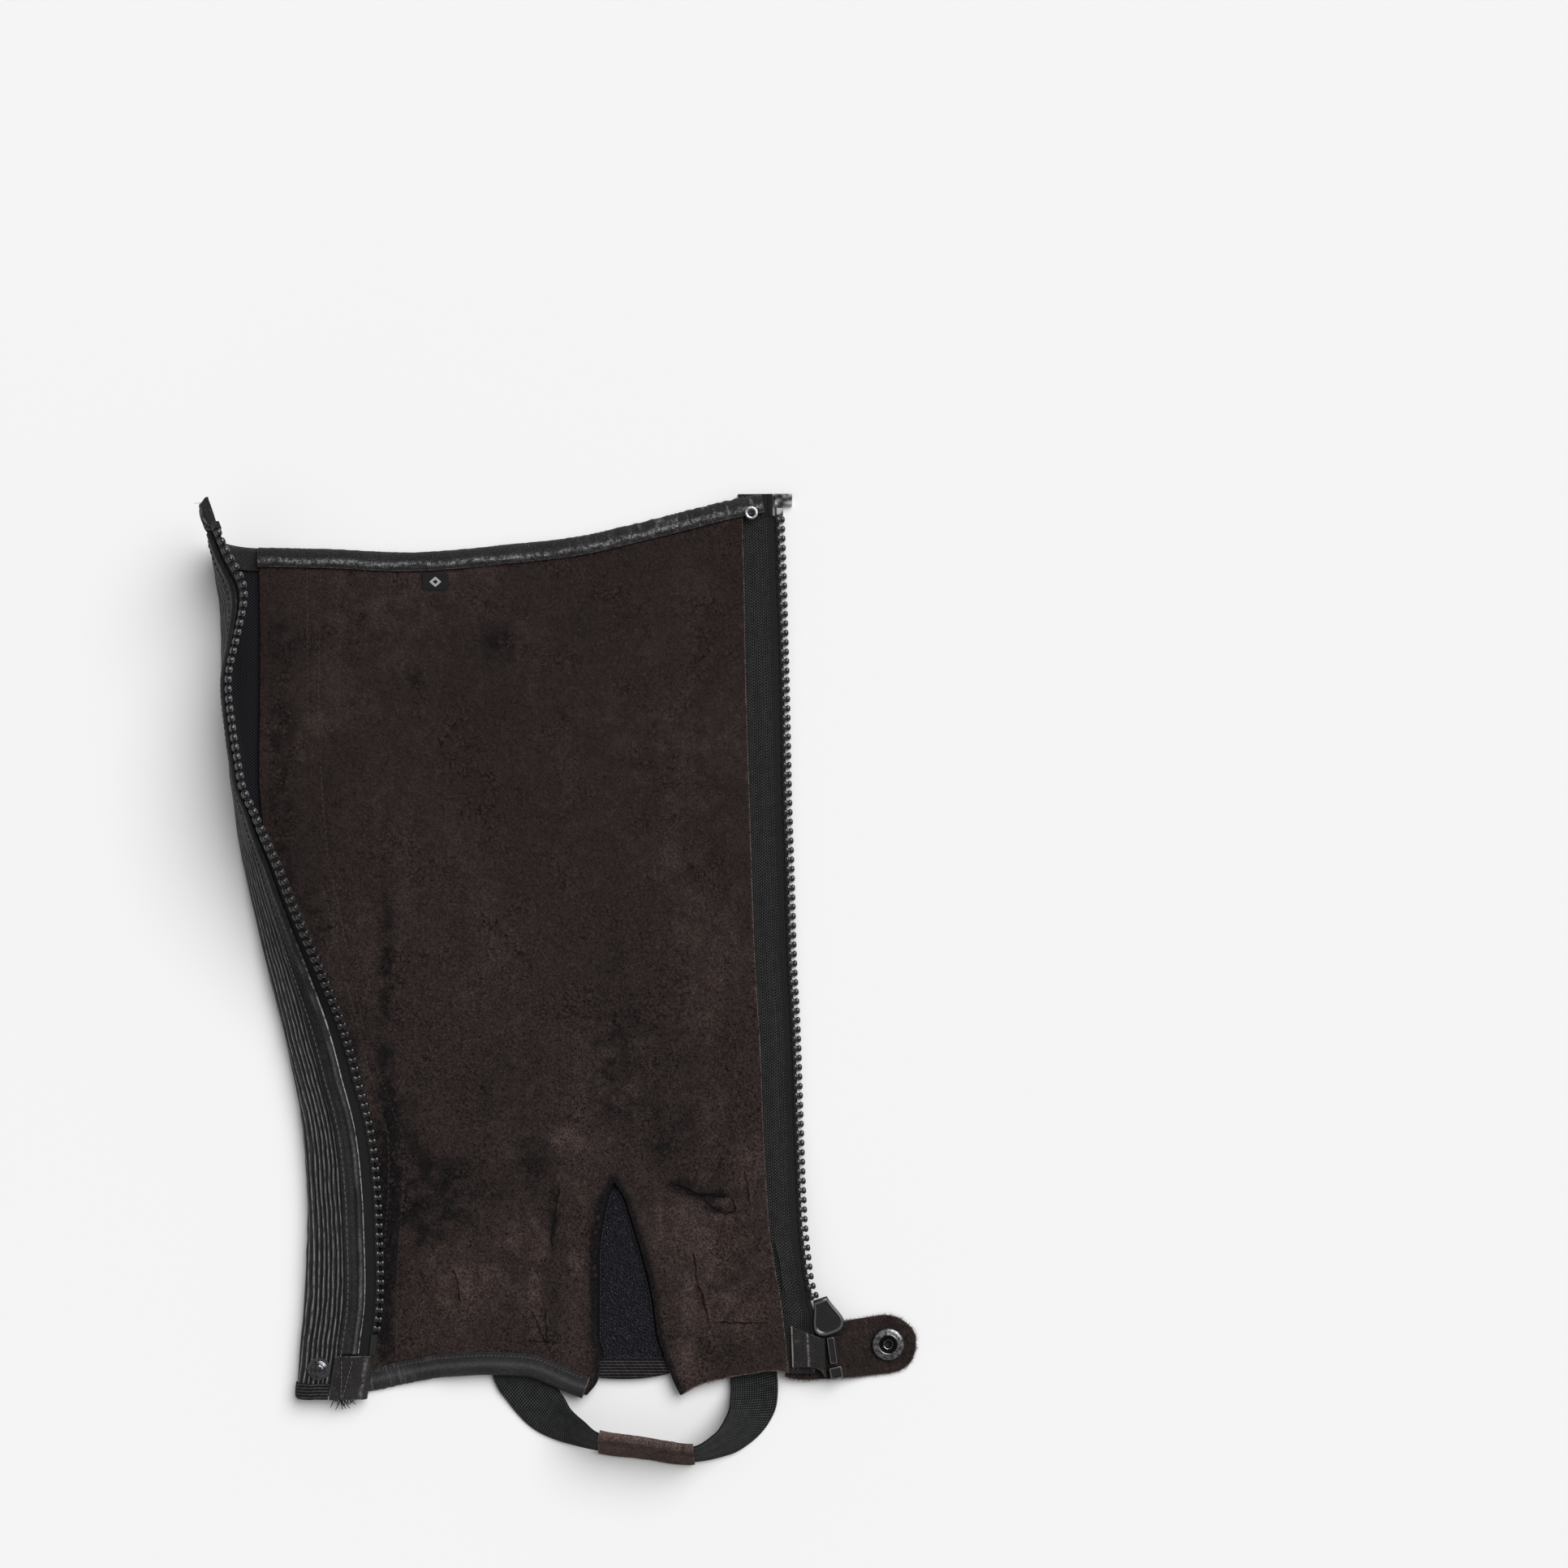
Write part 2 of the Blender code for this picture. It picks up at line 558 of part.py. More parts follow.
# Right half of the zip: tape under the leather's edge and the row of teeth beyond it.
tape_y = np.array([
    240, 234, 228, 215, 195, 170, 145, 120, 95, 70, 45, 20, -5, -30, -50, -65, -80, -95, -110,
    -125, -138, -150, -158, -166, -174, -183, -192.0])[:, None]
tooth_base = smooth(TOOTH_TIPS["y"], TOOTH_TIPS["x"], tape_y) - 5.0
TAPE_END = table("y x", (-192, 131), (-174, 130.8), (-166, 128.4), (-158, 125.6), (-150, 123.2))
tooth_base = np.where(tape_y < -150, smooth(TAPE_END["y"], TAPE_END["x"], tape_y), tooth_base)
tooth_base = np.where(tape_y > 229, 106.5, tooth_base)
hidden = 8 - 6.4 * step(-140, -185, tape_y)
tape_start = right_x(tape_y) - hidden
tape_start = np.where(tape_y > 226, right_x(tape_y) - 2, tape_start)
tape_x = np.hstack([tape_start, right_x(tape_y) + 0.3, (right_x(tape_y) + tooth_base) / 2, tooth_base])
tape_rise = 1.15 * step(0, 1, (tape_x - right_x(tape_y)) / (tooth_base - right_x(tape_y)))
tape_base = ground(tape_x, tape_y + 0 * tape_x) + 0.1 + tape_rise
tape_low = np.stack([tape_x, tape_y + 0 * tape_x, tape_base], -1)
wall_from_grid("zip_tape_right", tape_low, tape_low + np.array([0, 0, TAPE]), tape_cloth)

chain_y = np.array([
    228.8, 215, 195, 170, 145, 120, 95, 70, 45, 20, -5, -30, -50, -65, -80, -95, -110, -125,
    -138, -147, -154.4])[:, None]
tips = smooth(TOOTH_TIPS["y"], TOOTH_TIPS["x"], chain_y)
chain_x = np.hstack([tips - TOOTH_LENGTH, tips - 2.3, tips])
chain_mid = ground(chain_x, chain_y + 0 * chain_x) + 0.1 + 1.15 + TAPE / 2
half_height = np.array([[half_chain, half_chain, 1.1]])
chain_flat = np.stack([chain_x, chain_y + 0 * chain_x], -1)
chain_low = np.concatenate([chain_flat, (chain_mid - half_height)[..., None]], -1)
chain_high = np.concatenate([chain_flat, (chain_mid + half_height)[..., None]], -1)
wall_from_grid("zip_teeth_right", chain_low, chain_high, black_plastic)

top_tips = float(smooth(TOOTH_TIPS["y"], TOOTH_TIPS["x"], 229))
block("zip_top_stop_right", (top_tips - 4.6, 229.4, 0.3), (top_tips - 0.8, 233.6, 3.1),
      black_plastic, trim=0.6)
block("zip_top_clamp_right", (106.9, 234.2, 0.2), (116.0, 240.0, 3.4), black_plastic, trim=0.7)


def binding_path(table_, x, inset):
    # points along a table's curve, moved in, with the direction that points into the panel
    x = np.asarray(x, float)
    y = smooth(table_["x"], table_["y"], x)
    along = np.stack([np.gradient(x), np.gradient(y)], 1)
    along /= np.linalg.norm(along, axis=1)[:, None]
    inward = np.stack([along[:, 1], -along[:, 0]], 1)
    path = np.stack([x, y], 1) + inward * inset
    return path, inward


roll = np.array([
    (BINDING_WIDTH - 1.8, 2.85), (6.0, 3.05), (3.4, 3.35), (1.3, 3.2), (-0.3, 2.75), (-1.1, 1.9),
    (-1.25, 1.1), (-1.1, 0.55)])
path, inward = binding_path(TOP_EDGE, np.linspace(-146.0, 100.6, 27), 2.2)
rolled_edge("top_binding", path, inward, roll, BINDING, black_leather)
path, inward = binding_path(BOTTOM_LEFT, np.linspace(-88.8, 13.6, 16), 0.45)
inward = -inward
wide_roll = roll * np.where(roll[:, :1] > 5, (1.25, 1), 1)
rolled_edge("ankle_binding", path, inward, wide_roll, BINDING, black_leather)

# Stretch gusset under the slit, and its hem band.
gusset_y = np.array([-88, -94, -100, -107, -114, -122, -132, -143, -154, -165, -175, -185.2])[:, None]
open_left = slit_left(np.minimum(gusset_y, APEX[1])) - 7
open_right = slit_right(np.minimum(gusset_y, APEX[1])) + 7
share = np.linspace(0, 1, 8)[None, :]
gusset_x = open_left + (open_right - open_left) * share
gusset_base = ground(gusset_x, gusset_y + 0 * gusset_x) + 0.15
gusset_low = np.stack([gusset_x, gusset_y + 0 * gusset_x, gusset_base], -1)
wall_from_grid("gusset", gusset_low, gusset_low + np.array([0, 0, 1.2]), knit)
hem_share = np.linspace(0, 1, 9)[None, :]
hem_x = 13.5 + (60.0 - 13.5) * hem_share
hem_low_y = -195.4 + 3.0 * np.abs(hem_share * 2 - 0.85) ** 2.2
hem_y = -185.6 + (hem_low_y + 185.6) * np.array([[0.0], [0.5], [1.0]])
hem_points = np.stack([hem_x + 0 * hem_y, hem_y, ground(hem_x, hem_y) + 0.1], -1)
wall_from_grid("gusset_hem", hem_points, hem_points + np.array([0, 0, 1.55]), knit)

# Strap under the foot: flat at its sewn ends and turned on its edge in the middle.
strap_along = np.linspace(0, 200, 46)
edges = {name: smooth(STRAP["along"], STRAP[name], strap_along) for name in STRAP}
outer_edge = np.stack([edges["outer_x"], edges["outer_y"], edges["outer_z"]], 1)
inner_edge = np.stack([edges["inner_x"], edges["inner_y"], edges["inner_z"]], 1)
strap_middle = (outer_edge + inner_edge) / 2
strap_side = inner_edge - outer_edge
strap_side /= np.linalg.norm(strap_side, axis=1)[:, None]
strap_run = np.gradient(strap_middle, axis=0)
strap_up = np.cross(strap_run, strap_side)
strap_up /= np.linalg.norm(strap_up, axis=1)[:, None]


def strap_points(rows_, side, up):
    return (strap_middle[rows_, None, :] + strap_side[rows_, None, :] * np.asarray(side)[None, :, None]
            + strap_up[rows_, None, :] * np.asarray(up)[None, :, None])


all_rows = np.arange(len(strap_along))
half_web = WEBBING_WIDTH / 2
web_side = np.array([-half_web, 0, half_web])
strap_low = strap_points(all_rows, web_side, np.full(3, -WEBBING / 2))
strap_high = strap_points(all_rows, web_side, np.full(3, WEBBING / 2))
for sheet in (strap_low, strap_high):
    sheet[..., 2] = np.maximum(sheet[..., 2], 0.05 + WEBBING * 0.3 * (sheet is strap_high))
wall_from_grid("stirrup_strap", strap_low, strap_high, webbing)

# Suede sleeve wrapped round the middle of the strap.
sleeve_rows = all_rows[(strap_along > 79) & (strap_along < 126)]
cavity = (half_web + 0.35, WEBBING / 2 + 0.35)
skin = (cavity[0] + 1.3, cavity[1] + 1.4)
rings = []
for (half_side, half_up), (wide, tall) in ((skin, (0.93, 0.35)), (cavity, (0.995, 0.85))):
    side = np.array([1, wide, 0, -wide, -1, -1, -wide, 0, wide, 1]) * half_side
    up = np.array([tall, 1, 1, 1, tall, -tall, -1, -1, -1, -tall]) * half_up
    rings.append(strap_points(sleeve_rows, side, up))
count = 10
length = len(sleeve_rows)
points = np.concatenate([rings[0].reshape(-1, 3), rings[1].reshape(-1, 3)])
faces = []
for wall in (0, 1):
    for r in range(length - 1):
        for k in range(count):
            j = (k + 1) % count
            a = wall * length * count + r * count
            face = [a + k, a + j, a + count + j, a + count + k]
            faces.append(face if wall == 0 else face[::-1])
for r in (0, length - 1):
    for k in range(count):
        j = (k + 1) % count
        a = r * count
        b = length * count + r * count
        faces.append([a + k, a + j, b + j, b + k])
make_object("strap_sleeve", points, faces, suede)

# Snap tab under the tape end, and its socket.
tab_x = np.linspace(112.5, 177, 24)[:, None]
tab_low = smooth(SNAP_TAB["x"], SNAP_TAB["low"], tab_x)
tab_high = smooth(SNAP_TAB["x"], SNAP_TAB["high"], tab_x)
tab_share = np.array([[0, 0.2, 0.5, 0.8, 1.0]])
tab_y = tab_low + (tab_high - tab_low) * tab_share
tab_base = smooth(SNAP_TAB["x"], SNAP_TAB["base"], tab_x) + 0 * tab_y
tab_points = np.stack([tab_x + 0 * tab_y, tab_y, tab_base], -1)
wall_from_grid("snap_tab", tab_points, tab_points + np.array([0, 0, TAB_LEATHER]), suede)
tab_top = 0.3 + TAB_LEATHER + GAP
turned("snap_socket", [(7.9, 0), (8.0, 0.7), (7.2, 1.5), (5.4, 1.9), (4.5, 1.7), (4.4, 0.5), (2.3, 0.5),
                       (2.2, 1.2), (1.7, 1.2), (1.6, 0)],
       28, bright_metal, (SOCKET_CENTRE[0] * MM, SOCKET_CENTRE[1] * MM, tab_top * MM))

# Snap stud on the ribbed face of the elastic side.
stud_across = flap_width(STUD_HEIGHT_ON_CHAP) - STUD_FROM_TEETH
stud_at = flap(STUD_HEIGHT_ON_CHAP, stud_across, ELASTIC / 2 + RIB_HEIGHT + 0.4)
ahead = flap(STUD_HEIGHT_ON_CHAP, stud_across + 3, ELASTIC / 2 + RIB_HEIGHT + 0.4)
tilt = math.atan2(float(stud_at[2] - ahead[2]), float(ahead[0] - stud_at[0]))
washer = disc("stud_washer", [(5.4, 0), (5.7, 0.25), (5.4, 0.6)], 24, clear_plastic, stud_at * MM)
washer.rotation_euler = (0, tilt, 0)
stud = disc("snap_stud", [(4.1, 0.9), (4.1, 1.3), (3.0, 1.6), (2.4, 2.1), (3.0, 2.9), (2.7, 3.5), (1.6, 3.9)],
            20, bright_metal, stud_at * MM)
stud.rotation_euler = (0, tilt, 0)

# Eyelet ring on the binding.
eyelet_base = 0.0 + SEAM_RISE + LEATHER + 1.0 + 0.8
turned("top_eyelet", [(3.2, 0), (3.3, 0.5), (2.7, 1.0), (1.9, 0.8), (1.6, 0.4), (1.6, 0)], 20, dark_metal,
       (EYELET_CENTRE[0] * MM, EYELET_CENTRE[1] * MM, eyelet_base * MM))

# Woven size mark on the suede.
label_corners = [(-66.0, 192.6), (-53.2, 192.6), (-53.2, 200.6), (-66.0, 200.6)]
label_low = np.array([(x, y, LEATHER + GAP) for x, y in label_corners])
closed_loft("size_mark", [label_low, label_low + np.array([0, 0, 0.6])], label_cloth)

# Leather cap round the lower tape end of the right side.
cap_share = np.array([[0.0], [0.35], [0.7], [1.0]])
cap_x = np.array([[115.4, 118.2, 124.2, 128.6, 130.4, 131.4, 131.6, 131.2]])
cap_top = np.array([[-168.6, -169.8, -172.2, -173.8, -174.4, -174.6, -174.6, -174.6]])
cap_bottom = np.array([[-188.6, -188.6, -188.4, -189.8, -191.6, -193.4, -193.6, -193.6]])
cap_y = cap_top + (cap_bottom - cap_top) * cap_share
cap_mid = np.array([[8.55, 8.8, 9.35, 9.25, 9.0, 8.4, 7.2, 6.0]])
cap_side = np.array([[0, 0, 0, 0, 0.2, 0.42, 0.5, 0.45]])
cap_up = np.array([[0.5, 0.5, 0.5, 0.5, 0.45, 0.2, 0.0, -0.2]])
sheets = []
for sign in (-1, 1):
    sheets.append(np.stack([cap_x + sign * cap_side + 0.7 * cap_share, cap_y + 0 * cap_x,
                            cap_mid + sign * cap_up + 0 * cap_share], -1))
wall_from_grid("tape_end_cover_right", sheets[0], sheets[1], black_leather)

# Slider: two plates, a wedge between the rows of teeth and a bail for the pull.
slider_place = (SLIDER_CENTRE[0] * MM, SLIDER_CENTRE[1] * MM, 0)


def slider_ring(z, inset):
    along = SLIDER_OUTLINE["along"]
    half = SLIDER_OUTLINE["half"]
    scale = 1 - inset / 7.7
    right_side = np.stack([half * scale, along * scale, np.full(len(half), z)], 1)
    left_side = np.stack([-half[::-1] * scale, along[::-1] * scale, np.full(len(half), z)], 1)
    return np.concatenate([right_side, left_side])


def slider_part(rings_):
    return closed_loft("slider_part", rings_, dark_metal, location=slider_place)


def slider_block(low_, high_):
    return block("slider_part", low_, high_, dark_metal, location=slider_place)


back_plate = slider_part([slider_ring(8.9, 0.5), slider_ring(9.2, 0), slider_ring(9.6, 0.1),
                          slider_ring(10.1, 1.2), slider_ring(10.25, 2.6)])
front_plate = slider_part([slider_ring(5.2, 0.4), slider_ring(5.5, 0), slider_ring(6.3, 0)])
wedge = slider_block((-1.1, 3.6, 6.1), (1.1, 7.6, 9.1))
bail_ring = []
pivot = PULL_PIVOT_ALONG
for x in (-1.0, 1.0):
    bail_ring.append(np.array([
        (x, pivot - 3.9, 5.4), (x, pivot - 3.9, 1.2), (x, pivot - 3.3, 0.6), (x, pivot + 3.3, 0.6),
        (x, pivot + 3.9, 1.2), (x, pivot + 3.9, 5.4), (x, pivot + 2.6, 5.4), (x, pivot + 2.6, 1.5),
        (x, pivot - 2.6, 1.5), (x, pivot - 2.6, 5.4)]))
bail = slider_part(bail_ring)
slider = joined("zip_slider", back_plate, [wedge, front_plate, bail], "UNION", dark_metal)
slider.rotation_euler = (0, 0, SLIDER_TURN)

# Pull tab on the outer side, hung on the bail; its origin is on the hinge.
pull_outline = [(-3.0, 0.6), (-3.0, -5.2), (-4.0, -6.6), (-4.0, -21.0), (-3.2, -22.8), (-1.6, -23.8),
                (1.6, -23.8), (3.2, -22.8), (4.0, -21.0), (4.0, -6.6), (3.0, -5.2), (3.0, 0.6)]
rings = [np.array([(x, y, z) for x, y in pull_outline]) for z in (-0.6, 0.6)]
pull_x = SLIDER_CENTRE[0] - PULL_PIVOT_ALONG * math.sin(SLIDER_TURN)
pull_y = SLIDER_CENTRE[1] + PULL_PIVOT_ALONG * math.cos(SLIDER_TURN)
pull_place = (pull_x * MM, pull_y * MM, PULL_PIVOT_HEIGHT * MM)
pull = closed_loft("zip_pull", rings, dark_metal, location=pull_place)
window = block("pull_window", (-1.6, -5.4, -2), (1.6, -0.6, 2), dark_metal, location=pull_place)
pull = joined("zip_pull", pull, [window], "DIFFERENCE", dark_metal)
pull.rotation_euler = (PULL_TILT, 0, SLIDER_TURN)

# Retainer box and insertion pin at the end of the right tape.
pin = block("zip_box_pin", (-1.9, -6.6, 6.5), (1.9, 6.6, 8.7), black_plastic,
            location=(135.6 * MM, -180.6 * MM, 0), trim=0.4)
pin.rotation_euler = (0, 0, math.radians(8))
box = block("zip_box", (-3.2, -3.0, 5.6), (3.2, 3.0, 9.4), black_plastic,
            location=(137.6 * MM, -191.4 * MM, 0), trim=0.6)
box.rotation_euler = (0, 0, math.radians(12))

# The model's origin is the middle of its footprint.
for item in bpy.data.objects:
    item.location.x -= FOOTPRINT_MIDDLE[0] * MM
    item.location.y -= FOOTPRINT_MIDDLE[1] * MM
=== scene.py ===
import math

import bmesh
import bpy
import numpy as np
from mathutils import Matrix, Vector


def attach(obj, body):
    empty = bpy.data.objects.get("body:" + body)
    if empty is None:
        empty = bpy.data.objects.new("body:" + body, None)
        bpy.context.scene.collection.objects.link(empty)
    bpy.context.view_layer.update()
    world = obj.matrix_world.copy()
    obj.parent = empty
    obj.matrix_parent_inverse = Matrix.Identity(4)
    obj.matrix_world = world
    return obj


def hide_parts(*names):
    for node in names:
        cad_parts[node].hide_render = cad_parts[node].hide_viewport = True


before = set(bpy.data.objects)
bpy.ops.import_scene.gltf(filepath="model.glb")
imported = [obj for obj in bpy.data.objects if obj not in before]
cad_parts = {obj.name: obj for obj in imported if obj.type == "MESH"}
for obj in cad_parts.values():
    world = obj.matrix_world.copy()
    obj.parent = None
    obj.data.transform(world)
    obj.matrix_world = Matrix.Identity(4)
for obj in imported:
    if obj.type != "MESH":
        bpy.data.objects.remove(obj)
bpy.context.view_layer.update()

# All tables are in millimetres from the same zero as the CAD's own tables.
millimetre = 0.001
footprintMiddle = np.array([4.05, 0.95, 0.0])
upAxis = np.array([0.0, 0.0, 1.0])


def sizeTable(columns, *rows):
    # a short table of sizes with one named column each
    values = np.array(rows, float)
    return {name: values[:, i] for i, name in enumerate(columns.split())}


def smoothCurve(xValues, yValues, x):
    # monotone cubic through the table: each span is a Hermite cubic, its end slopes harmonic means
    xValues, yValues = np.asarray(xValues, float), np.asarray(yValues, float)
    if xValues[0] > xValues[-1]:
        xValues, yValues = xValues[::-1], yValues[::-1]
    width = np.diff(xValues)
    slope = np.diff(yValues) / width
    tangent = np.zeros_like(yValues)
    same = slope[1:] * slope[:-1] > 0
    mean = 2 * slope[1:] * slope[:-1] / np.where(same, slope[1:] + slope[:-1], 1)
    tangent[1:-1] = np.where(same, mean, 0)
    tangent[0], tangent[-1] = slope[0], slope[-1]
    x = np.clip(np.asarray(x, float), xValues[0], xValues[-1])
    i = np.clip(np.searchsorted(xValues, x) - 1, 0, len(width) - 1)
    t = (x - xValues[i]) / width[i]
    rise = (2 * t ** 3 - 3 * t ** 2 + 1) * yValues[i] + (3 * t ** 2 - 2 * t ** 3) * yValues[i + 1]
    bend = (t ** 3 - 2 * t ** 2 + t) * tangent[i] + (t ** 3 - t ** 2) * tangent[i + 1]
    return rise + bend * width[i]


def readRow(table, at):
    # every column of a table, read at values of its first one
    first = next(iter(table.values()))
    return {name: smoothCurve(first, column, at) for name, column in table.items()}


def easeStep(start, end, value):
    # 0 before start, 1 after end, smooth between
    t = np.clip((np.asarray(value, float) - start) / (end - start), 0, 1)
    return t * t * (3 - 2 * t)


def bell(distance, width):
    # 1 in the middle, falling off as exp(-(distance / width)^2)
    return np.exp(-(distance / width) ** 2)


def softNoise(x, y, size, seed):
    # seeded random heights on a lattice of that size, blended with a smooth step
    lattice = np.random.default_rng(seed).uniform(-1, 1, (61, 61))
    gx, gy = np.broadcast_arrays(np.asarray(x, float) / size, np.asarray(y, float) / size)
    ix, iy = np.floor(gx).astype(int), np.floor(gy).astype(int)
    tx, ty = easeStep(0, 1, gx - ix), easeStep(0, 1, gy - iy)
    low = lattice[ix % 61, iy % 61] * (1 - tx) + lattice[(ix + 1) % 61, iy % 61] * tx
    high = lattice[ix % 61, (iy + 1) % 61] * (1 - tx) + lattice[(ix + 1) % 61, (iy + 1) % 61] * tx
    return low * (1 - ty) + high * ty


def unit(vectors):
    return vectors / np.maximum(np.linalg.norm(vectors, axis=-1, keepdims=True), 1e-9)


def stacked(*parts):
    # points from coordinates that are grids, rows, columns or single values
    return np.stack(np.broadcast_arrays(*parts), -1)


def readAt(at, lengths, values):
    # each column of values read at those lengths
    return np.stack([np.interp(at, lengths, column) for column in values.T], -1)


def swung(points, angle, at=(0, 0)):
    # points turned about the vertical, then moved
    c, s = np.cos(angle), np.sin(angle)
    x, y = points[..., 0], points[..., 1]
    return stacked(x * c - y * s + at[0], x * s + y * c + at[1], points[..., 2])


# Edges of the leather and the zip, read as x at a height y or y at a width x.
leftEdge = sizeTable(
    "y x", (-206, -110.5), (-164, -108), (-116, -106.4), (-92, -107.6), (-68, -110),
    (-44, -114), (-20, -120), (4, -126.8), (28, -133.6), (52, -139.6), (76, -144), (100, -146),
    (164, -145.6), (214, -146.2))
rightEdge = sizeTable(
    "y x", (-192, 114.4), (-176, 112.8), (-156, 110.4), (-136, 106.8), (-116, 104.4),
    (-76, 102), (-34, 100.4), (13, 97.6), (84, 95.2), (134, 93.6), (194, 92.4), (240, 91.4))
topEdge = sizeTable(
    "x y", (-148, 214), (-114, 213.5), (-74, 211.9), (-54, 212.8), (-34, 214.7), (6, 219),
    (46, 228), (86, 237.8), (101, 240.8))
bottomLeft = sizeTable(
    "x y", (-111, -199.2), (-93, -199.6), (-74, -196), (-54, -192.2), (-34, -190.8),
    (-14, -191.8), (-4, -195.2), (6, -199.6), (14.4, -202.8))
bottomRight = sizeTable(
    "x y", (61.6, -202.8), (70.4, -198), (78, -195.6), (86, -193.8), (96, -192), (106, -190.4),
    (114.5, -191.4))
slit = sizeTable(
    "y left right", (-204, 14.4, 61.6), (-195, 20.8, 57.2), (-182.4, 22, 52.8), (-174, 20, 50),
    (-156, 20, 47.6), (-136, 20, 42.8), (-116.4, 22.4, 37), (-106.4, 24.8, 33.6),
    (-98.4, 28.4, 28.4))
apex = (28.4, -98.4)
toothTips = sizeTable(
    "y x", (-156, 129.9), (-146, 126.9), (-136, 125.6), (-116, 123.6), (-76, 122),
    (-26, 120.4), (13, 118.4), (44, 117.6), (94, 116), (134, 115.2), (194, 113.6), (229, 112.4))
# Section of the elastic side at a height: a flat run, a turn of that radius, then a lean to the teeth.
flapTable = sizeTable(
    "y width run radius lean leanEnd rise",
    (-206, 55.6, 12.2, 3.5, 182, 186, 0), (-182, 57, 12.0, 3.5, 182, 186, 0),
    (-160, 57, 11.4, 3.4, 182, 186, 0), (-115, 54, 10.8, 3.4, 182, 186, 0),
    (-75, 52.4, 10.1, 3.6, 181, 186, 0), (-45, 51, 9.9, 4, 174, 183, 0),
    (-20, 51.3, 8.8, 4.5, 162, 173, 0), (0, 52, 7.8, 5, 149, 161, 0),
    (20, 53, 6.5, 5.5, 136, 148, 0), (40, 54.5, 5.2, 6, 125, 137, 0),
    (60, 56, 5, 6, 117, 129, 0), (80, 57.5, 5, 6, 108, 118, 0), (100, 59, 6.2, 6, 102, 108, 0),
    (122, 60.5, 8.8, 6, 101.5, 105.5, 0), (145, 62, 11, 6, 102, 104, 2),
    (165, 63, 11, 6, 108, 111, 6), (180, 63, 10.5, 7, 113, 118, 11),
    (196, 63, 9, 10, 99, 111, 16), (213, 62, 5.9, 15, 88, 104, 21))
wall = {"leather": 2.0, "elastic": 1.3, "rib": 0.4, "tape": 1.0, "webbing": 1.3, "tab": 1.6}
lie = {"seamRise": 2.1, "sliderLift": 5.9, "hemLift": 2.5, "clear": 0.1, "tapeRise": 1.15}


def edgeX(edge, y):
    return smoothCurve(edge["y"], edge["x"], y)


def edgeY(edge, x):
    return smoothCurve(edge["x"], edge["y"], x)


def slitX(side, y):
    return smoothCurve(slit["y"], slit[side], y)


def groundLift(x, y):
    # how far the chap lies over the surface: by the slider's corner and along the ankle hem
    corner = easeStep(70, 112, x) * easeStep(-60, -150, y)
    hem = easeStep(-84, -50, x) * easeStep(-150, -190, y)
    return lie["sliderLift"] * corner + lie["hemLift"] * hem * (1 - corner)


def underLeather(x, y):
    # the lift and the climb over what is sewn under the leather's edges
    left = easeStep(24, 10, x - edgeX(leftEdge, y))
    right = easeStep(24, 10, edgeX(rightEdge, y) - x)
    aside = np.maximum(np.maximum(slitX("left", y) - x, x - slitX("right", y)), 0)
    besideSlit = easeStep(22, 9, aside) * easeStep(apex[1] + 22, apex[1] + 9, y)
    low = np.where(np.asarray(x) < 38, edgeY(bottomLeft, x), edgeY(bottomRight, x))
    hem = easeStep(36, 20, y - low) * easeStep(-62, -44, x)
    climb = 1 - (1 - left) * (1 - right) * (1 - besideSlit) * (1 - hem)
    return groundLift(x, y) + lie["seamRise"] * climb


def flapWidth(y):
    return smoothCurve(flapTable["y"], flapTable["width"], y)


def flapPoint(y, across, out):
    # the elastic side at an arc length across from the leather, out from its middle surface
    row = readRow(flapTable, y)
    lean, leanEnd = np.radians(row["lean"]), np.radians(row["leanEnd"])
    turn = row["run"] + row["radius"] * lean
    bend = (row["width"] - turn) / (leanEnd - lean)
    onTurn = np.clip((across - row["run"]) / row["radius"], 0, lean)
    past = np.maximum(across - turn, 0)
    angle = onTurn + past / bend
    inward = np.minimum(across, row["run"]) + row["radius"] * np.sin(onTurn)
    inward = inward + bend * (np.sin(angle) - np.sin(onTurn)) * (past > 0)
    height = row["radius"] * (1 - np.cos(onTurn))
    height = height + bend * (np.cos(onTurn) - np.cos(angle)) * (past > 0)
    x = edgeX(leftEdge, y) - inward - out * np.sin(angle)
    z = 0.1 + wall["rib"] + wall["elastic"] / 2 + height - out * np.cos(angle)
    lift = row["rise"] * np.clip(across / row["width"], 0, 1) ** 1.8
    return np.stack(np.broadcast_arrays(x, y + lift, z), -1)


def gridFaces(rows, columns, loopRows=False, loopColumns=False):
    # quads of a grid of points, closed round either way if asked
    r = np.arange(rows if loopRows else rows - 1)[:, None]
    c = np.arange(columns if loopColumns else columns - 1)[None, :]
    nextR, nextC = (r + 1) % rows, (c + 1) % columns
    corners = (r * columns + c, r * columns + nextC, nextR * columns + nextC, nextR * columns + c)
    return np.stack([np.broadcast_to(k, (len(r), c.shape[1])) for k in corners], -1).reshape(-1, 4)


